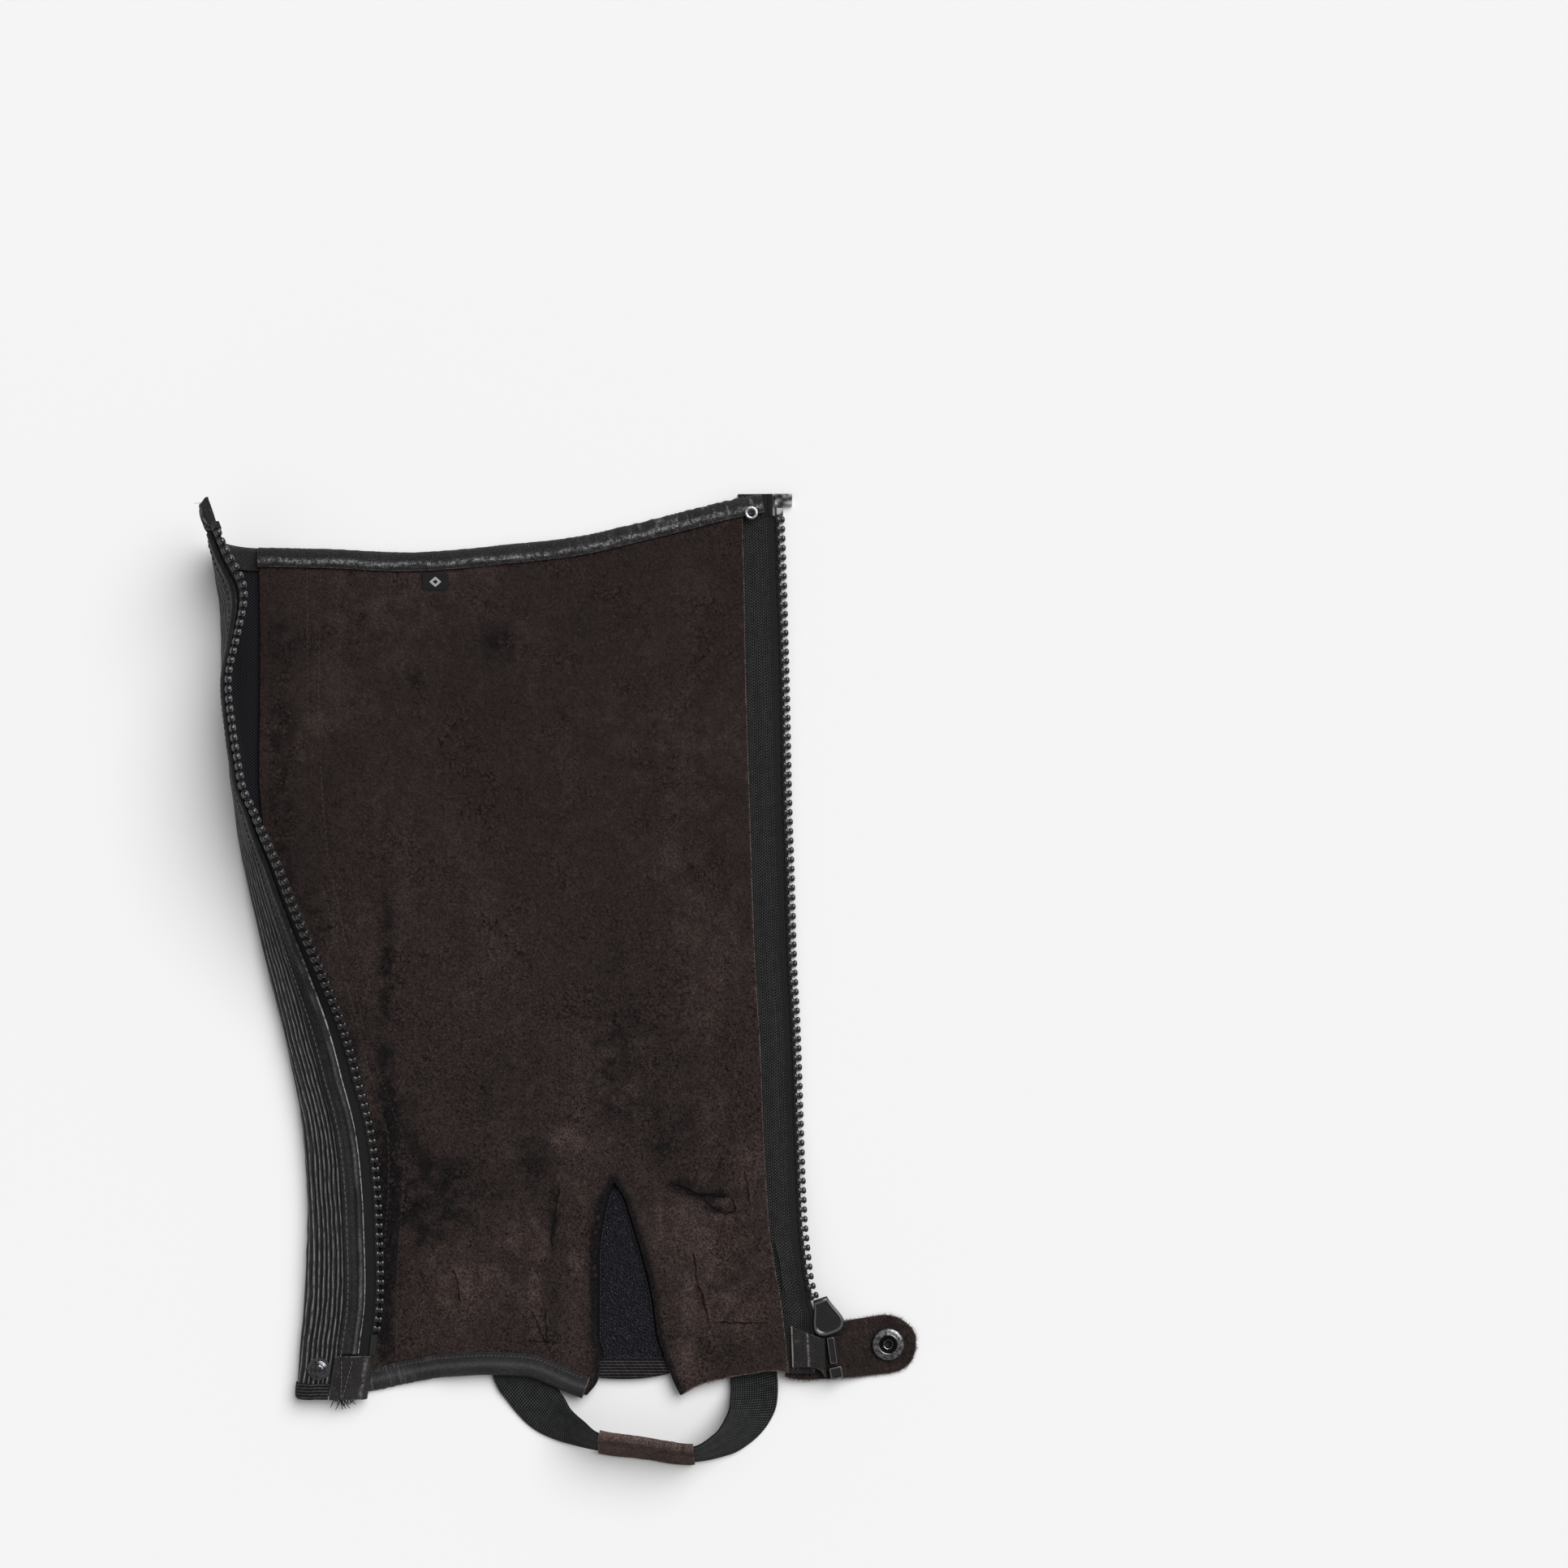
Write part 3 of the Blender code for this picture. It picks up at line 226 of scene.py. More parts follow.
def newPiece(name, points, faceBlocks, materials, node=None, lay=None, masks=None, faceSlot=None,
             sharp=40):
    # one mesh from arrays of points and of faces with the same number of corners
    mesh = bpy.data.meshes.new(name)
    points = (points.reshape(-1, 3) - footprintMiddle) * millimetre
    corners = np.concatenate([block.ravel() for block in faceBlocks])
    counts = np.concatenate([np.full(len(block), block.shape[1]) for block in faceBlocks])
    mesh.vertices.add(len(points))
    mesh.vertices.foreach_set("co", points.ravel())
    mesh.loops.add(len(corners))
    mesh.loops.foreach_set("vertex_index", corners.astype(np.int32))
    mesh.polygons.add(len(counts))
    mesh.polygons.foreach_set("loop_start", np.r_[0, np.cumsum(counts)[:-1]].astype(np.int32))
    if faceSlot is not None:
        mesh.polygons.foreach_set("material_index", faceSlot.astype(np.int32))
    mesh.update(calc_edges=True)
    if lay is not None:
        mesh.attributes.new("lay", "FLOAT_VECTOR", "POINT").data.foreach_set(
            "vector", lay.astype(np.float32).ravel())
    for label, values in (masks or {}).items():
        mesh.attributes.new(label, "FLOAT", "POINT").data.foreach_set("value", values.astype(np.float32))
    shape = bmesh.new()
    shape.from_mesh(mesh)
    bmesh.ops.recalc_face_normals(shape, faces=shape.faces)
    shape.to_mesh(mesh)
    shape.free()
    mesh.shade_smooth()
    mesh.set_sharp_from_angle(angle=math.radians(sharp))
    for material in materials:
        mesh.materials.append(material)
    piece = bpy.data.objects.new(name, mesh)
    bpy.context.scene.collection.objects.link(piece)
    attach(piece, "chap")
    if node:
        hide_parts(node)
    return piece


def closedWall(name, low, high, materials, lay, slot, node, masks=None, faces=None, underSlot=0, sharp=40):
    # two point sheets with the same faces, joined along their open edges; the under side may have its
    # own material, and a mask is one array for both sheets or a pair of them
    if faces is None:
        faces = gridFaces(*low.shape[:2])
    shape, count = low.shape[:-1], low.size // 3
    a, b = faces.ravel(), np.roll(faces, -1, axis=1).ravel()
    openEdge = ~np.isin(a * count + b, b * count + a)
    a, b = a[openEdge], b[openEdge]
    rim = np.stack([b, a, a + count, b + count], -1)
    every = np.concatenate([faces, faces[:, ::-1] + count, rim])
    slots = np.repeat((underSlot, 0, 0), (len(faces), len(faces), len(rim)))
    flat = np.broadcast_to(stacked(*lay), (*shape, 2)).reshape(-1, 2)
    bothLays = np.concatenate([np.column_stack([flat, np.full(count, face)]) for face in (-1.0, 1.0)])
    bothMasks = {}
    for label, value in (masks or {}).items():
        pair = value if isinstance(value, tuple) else (value, value)
        bothMasks[label] = np.concatenate([np.broadcast_to(one, shape).ravel() for one in pair])
    points = np.concatenate([low.reshape(-1, 3), high.reshape(-1, 3)])
    return newPiece(name, points, [every], materials, node, bothLays, bothMasks, slots, sharp)


def arcLengths(points):
    return np.r_[0, np.cumsum(np.linalg.norm(np.diff(points, axis=0), axis=1))]


def evenFrames(points, normals, pitch, margin):
    # places every pitch along a line of points: origin, along, side and normal of each
    lengths = arcLengths(points)
    count = max(2, int(round((lengths[-1] - 2 * margin) / pitch)) + 1)
    at = np.linspace(margin, lengths[-1] - margin, count)
    along = unit(readAt(at, lengths, unit(np.gradient(points, lengths, axis=0))))
    normal = readAt(at, lengths, np.broadcast_to(normals, points.shape))
    normal = unit(normal - along * np.sum(normal * along, -1, keepdims=True))
    return readAt(at, lengths, points), along, np.cross(normal, along), normal


def repeatedFaces(faceBlocks, copies, count):
    # the faces of one shape for every copy of its points
    shift = (np.arange(copies) * count)[:, None, None]
    return [(faces + shift).reshape(-1, faces.shape[1]) for faces in faceBlocks]


def placedCopies(shape, faceBlocks, frames):
    # copies of a small shape whose points are (along, side, up), one in each frame
    origin, along, side, normal = (part[:, None] for part in frames)
    points = origin + along * shape[..., :1] + side * shape[..., 1:2] + normal * shape[..., 2:]
    return points.reshape(-1, 3), repeatedFaces(faceBlocks, *points.shape[:2])


def loftFaces(rings, around):
    # quads between rings and a fan over each end, whose middle points come last
    quads = gridFaces(rings, around, loopColumns=True)
    k = np.arange(around)
    first, last = rings * around, rings * around + 1
    top = (rings - 1) * around
    fans = np.concatenate([np.stack([np.full(around, first), (k + 1) % around, k], -1),
                           np.stack([np.full(around, last), top + k, top + (k + 1) % around], -1)])
    return quads, fans


def stitchRow(name, points, material, slot, size, seed, normals=upAxis, slant=0.0, **changes):
    # thread segments along a line: each is a tube that rises from its two holes as 1 - u^4
    size = {**size, **changes}
    frames = evenFrames(points, normals, size["pitch"], 1)
    random = np.random.default_rng(seed)
    count = len(frames[0])
    u = np.array([-1, -0.72, 0, 0.72, 1.0])[:, None]
    angle = np.arange(5) * 2 * np.pi / 5
    radius = size["radius"] * np.array([0.6, 0.95, 1, 0.95, 0.6])[:, None]
    reach = u * size["length"] / 2 * random.uniform(0.9, 1.08, (count, 1, 1))
    lift = size["lift"] * (1 - u ** 4) - size["radius"] * 0.3
    rings = stacked(reach, radius * np.cos(angle), lift + radius * np.sin(angle)).reshape(count, -1, 3)
    ends = stacked(reach[:, (0, -1), 0] * 1.06, 0, lift[(0, -1), 0])
    turns = slant + random.uniform(-1, 1, count) * size["stray"]
    local = swung(np.concatenate([rings, ends], 1), turns[:, None])
    points, blocks = placedCopies(local, loftFaces(5, 5), frames)
    newPiece(name, points, blocks, [material], sharp=80)


def tubes(name, paths, side, up, width, around, material):
    # thin tubes round a stack of paths, with a pole at either end of each
    angle = np.arange(around)[:, None] * 2 * np.pi / around
    rings = (paths[:, :, None] + (side * width)[:, :, None] * np.cos(angle)
             + (up * width)[:, :, None] * np.sin(angle))
    points = np.concatenate([rings.reshape(len(paths), -1, 3), paths[:, :1], paths[:, -1:]], 1)
    blocks = repeatedFaces(loftFaces(paths.shape[1], around), *points.shape[:2])
    newPiece(name, points, blocks, [material], sharp=80)


# Materials. A group puts out masks and heights, and the shader stays in the material.
def feed(node, label, value):
    # a socket is linked to that input, and a plain value becomes its default, a colour with full alpha
    if isinstance(value, bpy.types.NodeSocket):
        node.id_data.links.new(value, node.inputs[label])
    else:
        node.inputs[label].default_value = (*value, 1.0) if node.inputs[label].type == "RGBA" else value


def addNode(tree, kind, inputs, **settings):
    made = tree.nodes.new("ShaderNode" + kind)
    for key, value in settings.items():
        setattr(made, key, value)
    for key, value in inputs.items():
        feed(made, key, value)
    return made.outputs


def nodeAfter(kind, inputs, **settings):
    # a node in the tree that its linked sockets belong to
    tree = next(value for value in inputs.values() if isinstance(value, bpy.types.NodeSocket)).id_data
    return addNode(tree, kind, inputs, **settings)


def maths(operation, *values):
    return nodeAfter("Math", dict(enumerate(values)), operation=operation)[0]


def plus(first, second):
    return maths("ADD", first, second)


def minus(first, second):
    return maths("SUBTRACT", first, second)


def times(first, *others):
    for other in others:
        first = maths("MULTIPLY", first, other)
    return first


def divided(first, second):
    return maths("DIVIDE", first, second)


def vectorMaths(operation, first, second=None):
    inputs = {0: first} if second is None else {0: first, 3 if operation == "SCALE" else 1: second}
    outputs = nodeAfter("VectorMath", inputs, operation=operation)
    return outputs["Value" if operation in ("DOT_PRODUCT", "LENGTH") else "Vector"]


def noise(place, scale, detail, roughness=0.5, distortion=0.0, output="Fac"):
    return nodeAfter("TexNoise", {"Vector": place, "Scale": scale, "Detail": detail, "Roughness": roughness,
                                  "Distortion": distortion})[output]


def blendColour(factor, low, high):
    return nodeAfter("Mix", {0: factor, 6: low, 7: high}, data_type="RGBA")[2]


def ramp(value, low, high, fromLow=0.0, fromHigh=1.0):
    return nodeAfter("MapRange", {"Value": value, "From Min": low, "From Max": high, "To Min": fromLow,
                                  "To Max": fromHigh}, interpolation_type="SMOOTHSTEP")[0]


def fade(value, low, high):
    # 1 before low, 0 after high
    return ramp(value, low, high, 1.0, 0.0)


def effectGroup(name, inputs):
    # starts a group and gives the sockets of its inputs
    tree = bpy.data.node_groups.new(name, "ShaderNodeTree")
    kinds = {float: "NodeSocketFloat", tuple: "NodeSocketVector"}
    for label, default in inputs.items():
        socket = tree.interface.new_socket(label, in_out="INPUT", socket_type=kinds[type(default)])
        socket.default_value = default
    return tree.nodes.new("NodeGroupInput").outputs[:len(inputs)]


def groupOf(**results):
    # ends a group: one output for each result, under the name given to it
    tree = next(iter(results.values())).id_data
    for label in results:
        tree.interface.new_socket(label, in_out="OUTPUT", socket_type="NodeSocketFloat")
    out = tree.nodes.new("NodeGroupOutput")
    for label, value in results.items():
        feed(out, label, value)
    return tree


def useGroup(group, **inputs):
    tree = next(value for value in inputs.values() if isinstance(value, bpy.types.NodeSocket)).id_data
    made = tree.nodes.new("ShaderNodeGroup")
    made.node_tree = group
    for key, value in inputs.items():
        feed(made, key.title(), value)
    return made.outputs


anywhere = (0.0, 0.0, 0.0)


def makeNapGroup():
    # curly fibres: thin lines where a distorted noise crosses its middle, in two sizes, over pits; the suede
    # paints shade into the pits and a highlight on the lines
    place, length = effectGroup("napFibres", {"Place": anywhere, "Length": 0.9})
    scale = divided(1.0, length)
    curls = noise(place, times(scale, 0.7), 2.0, 0.5, 2.6)
    fine = noise(place, times(scale, 1.5), 2.0, 0.55, 1.8)
    pits = noise(place, times(scale, 1.5), 3.0, 0.6, 1.2)
    wide = fade(maths("ABSOLUTE", minus(curls, 0.5)), 0.0, 0.07)
    thin = fade(maths("ABSOLUTE", minus(fine, 0.52)), 0.0, 0.06)
    pit = fade(pits, 0.34, 0.58)
    lines = plus(times(wide, 0.6), times(thin, 0.6))
    return groupOf(Height=minus(lines, times(pit, 0.8)), Fleck=times(lines, minus(1.0, pit)), Pit=pit)


def makeGrainGroup():
    # leather grain: rounded cells between thin valleys, with fine pores
    place, cell, wander = effectGroup("leatherGrain", {"Place": anywhere, "Cell": 1.0, "Wander": 0.8})
    scaled = vectorMaths("SCALE", place, divided(1.0, cell))
    push = vectorMaths("SCALE", noise(scaled, 0.8, 3.0, output="Color"), wander)
    scaled = vectorMaths("ADD", scaled, push)
    cells = nodeAfter("TexVoronoi", {"Vector": scaled, "Scale": 1.0}, feature="DISTANCE_TO_EDGE")
    rounded = ramp(cells["Distance"], 0.0, 0.32)
    return groupOf(Height=plus(rounded, times(noise(scaled, 3.2, 2.0), 0.35)), Ridge=rounded)


def makeThreadGroup():
    # parallel threads: a rounded thread at every pitch across, twisted in short slants along
    across, along, pitch, twist = effectGroup("parallelThreads",
                                              {"Across": 0.0, "Along": 0.0, "Pitch": 1.0, "Twist": 1.0})
    turns = divided(across, pitch)
    part = maths("FRACT", turns)
    crest = maths("SINE", times(part, math.pi))
    twist = plus(divided(along, twist), times(maths("FLOOR", turns), 0.37))
    twist = plus(twist, times(part, 0.5))
    dash = ramp(maths("SINE", times(twist, 2 * math.pi)), -0.5, 0.9)
    return groupOf(Height=plus(crest, times(dash, 0.25)), Dash=times(crest, dash),
                   Crest=maths("POWER", crest, 3.0))


def makeTwillGroup():
    # woven floats in slanted rows that turn back every band across, as in a herringbone tape
    across, along, length, band, slant = effectGroup("twillFloats", {"Across": 0.0, "Along": 0.0,
                                                                     "Float": 1.1, "Band": 4.0, "Slant": 1.0})
    bands = maths("PINGPONG", across, band)
    rows = plus(divided(along, length), times(divided(bands, length), slant))
    steps = divided(across, times(length, 0.62))
    first = maths("SINE", times(rows, 2 * math.pi))
    second = maths("SINE", times(steps, 2 * math.pi))
    height = plus(times(first, 0.5), times(second, 0.3))
    return groupOf(Height=height, Crest=ramp(height, 0.05, 0.75))


def makeLintGroup():
    # a few pale flecks: small spots in cells that a random value picks
    place, spacing, share = effectGroup("lintFlecks", {"Place": anywhere, "Spacing": 9.0, "Share": 0.1})
    cells = nodeAfter("TexVoronoi", {"Vector": place, "Scale": divided(1.0, spacing)})
    picked = nodeAfter("SeparateColor", {0: cells["Color"]})[0]
    return groupOf(Mask=times(fade(cells["Distance"], 0.02, 0.045), maths("LESS_THAN", picked, share)))


def makeCreaseGroup():
    # a thin crease: distance from a wavering place to the segment from Start to Start + Way, under Width
    place, start, way, width = effectGroup("thinCrease",
                                           {"Place": anywhere, "Start": anywhere,
                                            "Way": (1.0, 0.0, 0.0), "Width": 0.6})
    stir = noise(place, 0.28, 3.0, output="Color")
    stir = vectorMaths("MULTIPLY", vectorMaths("SUBTRACT", stir, (0.5, 0.5, 0.5)), (2.8, 2.8, 0.0))
    flat = vectorMaths("ADD", vectorMaths("MULTIPLY", place, (1.0, 1.0, 0.0)), stir)
    offset = vectorMaths("SUBTRACT", flat, start)
    share = divided(vectorMaths("DOT_PRODUCT", offset, way),
                    vectorMaths("DOT_PRODUCT", way, way))
    held = maths("MINIMUM", maths("MAXIMUM", share, 0.0), 1.0)
    nearest = vectorMaths("SCALE", way, held)
    apart = divided(vectorMaths("LENGTH", vectorMaths("SUBTRACT", offset, nearest)), width)
    taper = maths("MINIMUM", times(held, minus(1.0, held), 6.0), 1.0)
    return groupOf(Mask=times(fade(apart, 0.2, 1.0), taper), Height=times(fade(apart, 0.0, 3.0), taper))


def makeCrackleGroup():
    # crumpled leather: rounded cells with thin creases where they meet, only inside broad noise patches; the
    # suede paints shade into the creases and a highlight on the raised cells
    place, cell = effectGroup("crackle", {"Place": anywhere, "Cell": 3.2})
    stir = vectorMaths("MULTIPLY", noise(place, 0.32, 3.0, output="Color"), (4.5, 4.5, 0.0))
    cells = nodeAfter("TexVoronoi", {"Vector": vectorMaths("ADD", place, stir),
                                     "Scale": divided(1.0, cell)}, feature="DISTANCE_TO_EDGE")["Distance"]
    patch = times(ramp(noise(place, 0.030, 3.0, 0.6), 0.42, 0.62),
                  ramp(noise(place, 0.22, 3.0), 0.36, 0.60))
    line = times(fade(cells, 0.0, 0.15), ramp(noise(place, 0.75, 2.0), 0.42, 0.58))
    return groupOf(Mask=times(line, patch), Height=times(fade(cells, 0.0, 0.30), patch),
                   Patch=times(ramp(cells, 0.16, 0.34), patch))


def makeRawEdgeGroup():
    # pale cut edge: the edge mask broken up by noise
    place, edge = effectGroup("rawCut", {"Place": anywhere, "Edge": 0.0})
    broken = ramp(noise(place, 0.35, 4.0, 0.7), 0.3, 0.65, 0.45, 1.1)
    return groupOf(Mask=ramp(times(edge, broken), 0.35, 0.95))


napGroup, grainGroup, threadGroup = makeNapGroup(), makeGrainGroup(), makeThreadGroup()
twillGroup, lintGroup, rawCutGroup = makeTwillGroup(), makeLintGroup(), makeRawEdgeGroup()
creaseGroup, crackleGroup = makeCreaseGroup(), makeCrackleGroup()


def newMaterial(name, roughness, metallic=0.0, specular=0.5, sheen=0.0, sheenRoughness=0.4, coat=0.0):
    made = bpy.data.materials.new(name)
    made.use_nodes = True
    shader = made.node_tree.nodes["Principled BSDF"]
    for label, value in (("Roughness", roughness), ("Metallic", metallic), ("Specular IOR Level", specular),
                         ("Sheen Weight", sheen), ("Sheen Roughness", sheenRoughness), ("Coat Weight", coat),
                         ("Coat Roughness", 0.1)):
        feed(shader, label, value)
    return made, made.node_tree, shader


def placeInMillimetres(tree):
    return vectorMaths("SCALE", addNode(tree, "TexCoord", {})["Object"], 1000.0)


def clothLay(tree):
    # the cloth's own place on the piece: across and along
    lay = addNode(tree, "Attribute", {}, attribute_name="lay")["Vector"]
    return nodeAfter("SeparateXYZ", {0: lay})[:2]


def pointMask(tree, name):
    return addNode(tree, "Attribute", {}, attribute_name=name)["Fac"]


def bump(shader, height, distance, before=None):
    # stands the surface out by a height, on top of an earlier bump if there is one
    inputs = {"Height": height, "Distance": distance}
    if before is not None:
        inputs["Normal"] = before
    normal = nodeAfter("Bump", inputs)[0]
    feed(shader, "Normal", normal)
    return normal


def clad(made, shader, shade, height, depth):
    # a material's last step: its colour and its relief
    feed(shader, "Base Color", shade)
    bump(shader, height, depth)
    return made


def shadeOf(base, factor):
    # a colour that much lighter or darker, up to white
    return tuple(min(1.0, part * factor) for part in base)


suedeLook = {
    "paintedShade": (0.0042, 0.0032, 0.0032), "brown": (0.0412, 0.0288, 0.0268),
    "warm": (0.094, 0.066, 0.058), "stainAndShade": (0.0085, 0.0080, 0.0088),
    "cut": (0.26, 0.20, 0.17), "lint": (0.42, 0.38, 0.33),
    "napDepth": 0.0006, "rumpleDepth": 0.0022, "foldDepth": 0.0007, "crackleCell": 2.6,
}
# thin creases of the leg: from (x, y) to (x, y), and half width
thinCreases = (
    (62, -104.4, 86.5, -106.2, 0.75), (86, -105.6, 88.6, -113.6, 0.6), (88.8, -113.0, 81, -114.6, 0.7),
    (82.5, -115, 71, -106.8, 0.65), (56, -99, 70, -104.6, 0.9), (1.6, -99, -1.4, -117.5, 0.75),
    (-1.0, -114, -2.8, -134, 0.7), (-50.4, -141, -47.2, -159, 0.6), (-12.4, -161, -4.4, -179, 0.6),
    (-6, -158, -4, -181, 0.6), (-15.5, -176.2, 2.6, -177.4, 0.6), (67.4, -133, 69, -148, 0.8),
    (68.6, -145, 76.6, -172, 0.75), (76, -167.4, 105, -167.0, 0.6), (92.5, -92, 96, -112, 0.7),
)


def makeSuede(name, brightness=1.0, napLength=1.15, cutShare=1.0, creases=()):
    # brown to warm by cloud, blotch and mask, then stains and painted shade, nap with painted shade and
    # highlight, creases with painted shade and highlight, lint and the raw cut over it
    made, tree, shader = newMaterial(name, 0.95, specular=0.0, sheen=0.03, sheenRoughness=0.5)
    place = placeInMillimetres(tree)
    nap = useGroup(napGroup, place=place, length=napLength)
    cloud = noise(vectorMaths("MULTIPLY", place, (1.0, 0.55, 1.0)), 0.022, 4.0, 0.55, 0.5)
    blotch = noise(place, 0.11, 4.0, 0.62, 0.9)
    warmth = plus(ramp(cloud, 0.38, 0.72, 0.0, 0.35), pointMask(tree, "warm"))
    warmth = plus(warmth, minus(blotch, 0.5))
    shade = blendColour(ramp(warmth, 0.0, 1.0), suedeLook["brown"], suedeLook["warm"])
    dark = plus(pointMask(tree, "stainAndShade"), times(minus(0.5, blotch), 0.55))
    # stains, and painted shade where the mask says: the elastic side's shadow, the creases and the slit's
    # edges
    shade = blendColour(times(ramp(dark, 0.0, 0.9), 0.9), shade, suedeLook["stainAndShade"])
    # the nap's painted shade and highlight grow stronger toward the ankle end, where the nap stands up more
    rough = ramp(nodeAfter("SeparateXYZ", {0: place})[1], -60.0, 130.0, 1.0, 0.45)
    # painted highlight: the fibre lines take a copy of the suede's colour nearly four times lighter
    litFibre = nodeAfter("HueSaturation", {"Value": 3.8, "Color": shade})[0]
    # painted shade: the nap's pits are darkened nearly to black
    shade = blendColour(times(nap["Pit"], 0.85, rough), shade, suedeLook["paintedShade"])
    shade = blendColour(times(nap["Fleck"], rough), shade, litFibre)
    if creases:
        crackle = useGroup(crackleGroup, place=place, cell=suedeLook["crackleCell"])
        # painted highlight on the crackle's raised cells, then painted shade in its creases
        shade = blendColour(times(crackle["Patch"], 0.62), shade, suedeLook["warm"])
        shade = blendColour(times(crackle["Mask"], 0.9), shade, suedeLook["paintedShade"])
        folds = crackle["Height"]
    for x, y, endX, endY, width in creases:
        thin = useGroup(creaseGroup, place=place, way=(endX - x, endY - y, 0.0), width=width,
                        start=(x - footprintMiddle[0], y - footprintMiddle[1], 0.0))
        # painted shade along each thin crease
        shade = blendColour(times(thin["Mask"], 0.85), shade, suedeLook["paintedShade"])
        folds = maths("MAXIMUM", folds, thin["Height"])
    lint = useGroup(lintGroup, place=place, spacing=7.0, share=0.05)["Mask"]
    shade = blendColour(times(lint, 0.6), shade, suedeLook["lint"])
    cut = useGroup(rawCutGroup, place=place, edge=pointMask(tree, "cutEdge"))["Mask"]
    shade = blendColour(times(cut, cutShare), shade, suedeLook["cut"])
    if brightness != 1.0:
        shade = nodeAfter("HueSaturation", {"Value": brightness, "Color": shade})[0]
    feed(shader, "Base Color", shade)
    before = bump(shader, noise(place, 0.24, 3.0, 0.6, 1.4), suedeLook["rumpleDepth"])
    if creases:
        before = bump(shader, minus(1.0, folds), suedeLook["foldDepth"], before)
    bump(shader, nap["Height"], suedeLook["napDepth"], before)
    return made


def makeLeather(name, base, cell=1.0, grainDepth=0.00012, roughness=0.42, wrinkle=0.5, rawColour=None,
                streak=None, specular=0.4, highlightColour=(0.36, 0.36, 0.365), highlightFloor=0.06):
    # grained leather: cells and pores, painted shade in the valleys, a painted highlight where its highlight
    # mask says, and the raw edge where its cut mask says
    made, tree, shader = newMaterial(name, roughness, specular=specular)
    place = placeInMillimetres(tree)
    grain = useGroup(grainGroup, place=place, cell=cell, wander=wrinkle)
    shade = blendColour(ramp(noise(place, 0.09, 4.0), 0.35, 0.75), base, shadeOf(base, 2.1))
    # painted shade: the grain's valleys darkened toward a third of the base colour
    shade = blendColour(times(fade(grain["Ridge"], 0.0, 0.45), 0.8), shade, shadeOf(base, 0.35))
    # painted highlight: pale on the grain's ridges where the mask says, broken by noise down to the floor
    # given
    highlightAmount = times(pointMask(tree, "paintedHighlight"), ramp(grain["Ridge"], 0.1, 0.7, 0.4, 1.0),
                ramp(noise(place, 0.6, 4.0, 0.7), 0.4, 0.6, highlightFloor, 1.0))
    shade = blendColour(highlightAmount, shade, highlightColour)
    if rawColour is not None:
        cut = useGroup(rawCutGroup, place=place, edge=pointMask(tree, "cutEdge"))["Mask"]
        shade = blendColour(cut, shade, rawColour)
    feed(shader, "Base Color", shade)
    feed(shader, "Roughness", ramp(grain["Ridge"], 0.0, 0.7, min(1.0, roughness + 0.3), roughness))
    before = None
    if streak is not None:
        across, along = clothLay(tree)
        turned = nodeAfter("CombineXYZ", {0: times(along, 1 / streak[0]), 1: times(across, 1 / streak[1])})[0]
        before = bump(shader, noise(turned, 1.0, 3.0, distortion=0.4), streak[2])
    bump(shader, grain["Height"], grainDepth, before)
    return made


def makeRibbedElastic():
    # cord ribs wrapped in fine threads: a painted highlight as a thin pale line on each crest, and painted
    # shade near black between
    made, tree, shader = newMaterial("ribbedElastic", 0.5, specular=0.35)
    across, along = clothLay(tree)
    crest = pointMask(tree, "crest")
    threads = useGroup(threadGroup, across=across, along=along, pitch=0.55, twist=1.3)
    drawn = nodeAfter("CombineXYZ", {0: times(across, 0.9), 1: times(along, 0.22)})[0]
    patchy = noise(drawn, 1.0, 5.0, 0.75)
    line = times(ramp(crest, 0.93, 1.0), ramp(patchy, 0.38, 0.58, 0.12, 1.0))
    groove = times(ramp(crest, 0.0, 0.16, 0.36, 0.0), ramp(patchy, 0.42, 0.58))
    light = times(plus(line, groove), plus(times(threads["Dash"], 0.5), 0.6))
    shade = blendColour(ramp(crest, 0.1, 0.9), (0.0025, 0.0025, 0.0027), (0.0105, 0.010, 0.0107))
    return clad(made, shader, blendColour(light, shade, (0.25, 0.24, 0.245)), threads["Height"], 0.0002)


def makeInnerElastic():
    # smooth inner face of the elastic: small slanted loops
    made, tree, shader = newMaterial("innerElastic", 0.8, specular=0.1)
    across, along = clothLay(tree)
    twill = useGroup(twillGroup, across=across, along=along, float=1.5, band=400.0, slant=0.8)
    feed(shader, "Base Color", blendColour(twill["Crest"], (0.0045, 0.0045, 0.0062),
                                           (0.032, 0.032, 0.038)))
    bump(shader, twill["Height"], 0.00018)
    return made


def makeTapeWeave():
    # herringbone tape: slanted floats that turn back in bands, plainer next to the teeth and darkened there
    # as painted shade
    made, tree, shader = newMaterial("tapeWeave", 0.6, specular=0.2)
    across, along = clothLay(tree)
    twill = useGroup(twillGroup, across=across, along=along, float=1.45, band=3.0, slant=0.9)
    fine = useGroup(threadGroup, across=across, along=along, pitch=0.7, twist=1.0)
    plain = pointMask(tree, "plainWeaveShade")
    # next to the teeth only faint fine threads show: a plainer weave, and painted shade
    crest = plus(times(twill["Crest"], minus(1.0, plain)), times(fine["Dash"], 0.14, plain))
    crest = times(crest, ramp(noise(placeInMillimetres(tree), 0.35, 3.0), 0.3, 0.7, 0.55, 1.1))
    return clad(made, shader, blendColour(crest, (0.0036, 0.0036, 0.0040), (0.075, 0.073, 0.077)),
                plus(times(twill["Height"], minus(1.0, plain)), times(fine["Height"], 0.5, plain)), 0.0003)


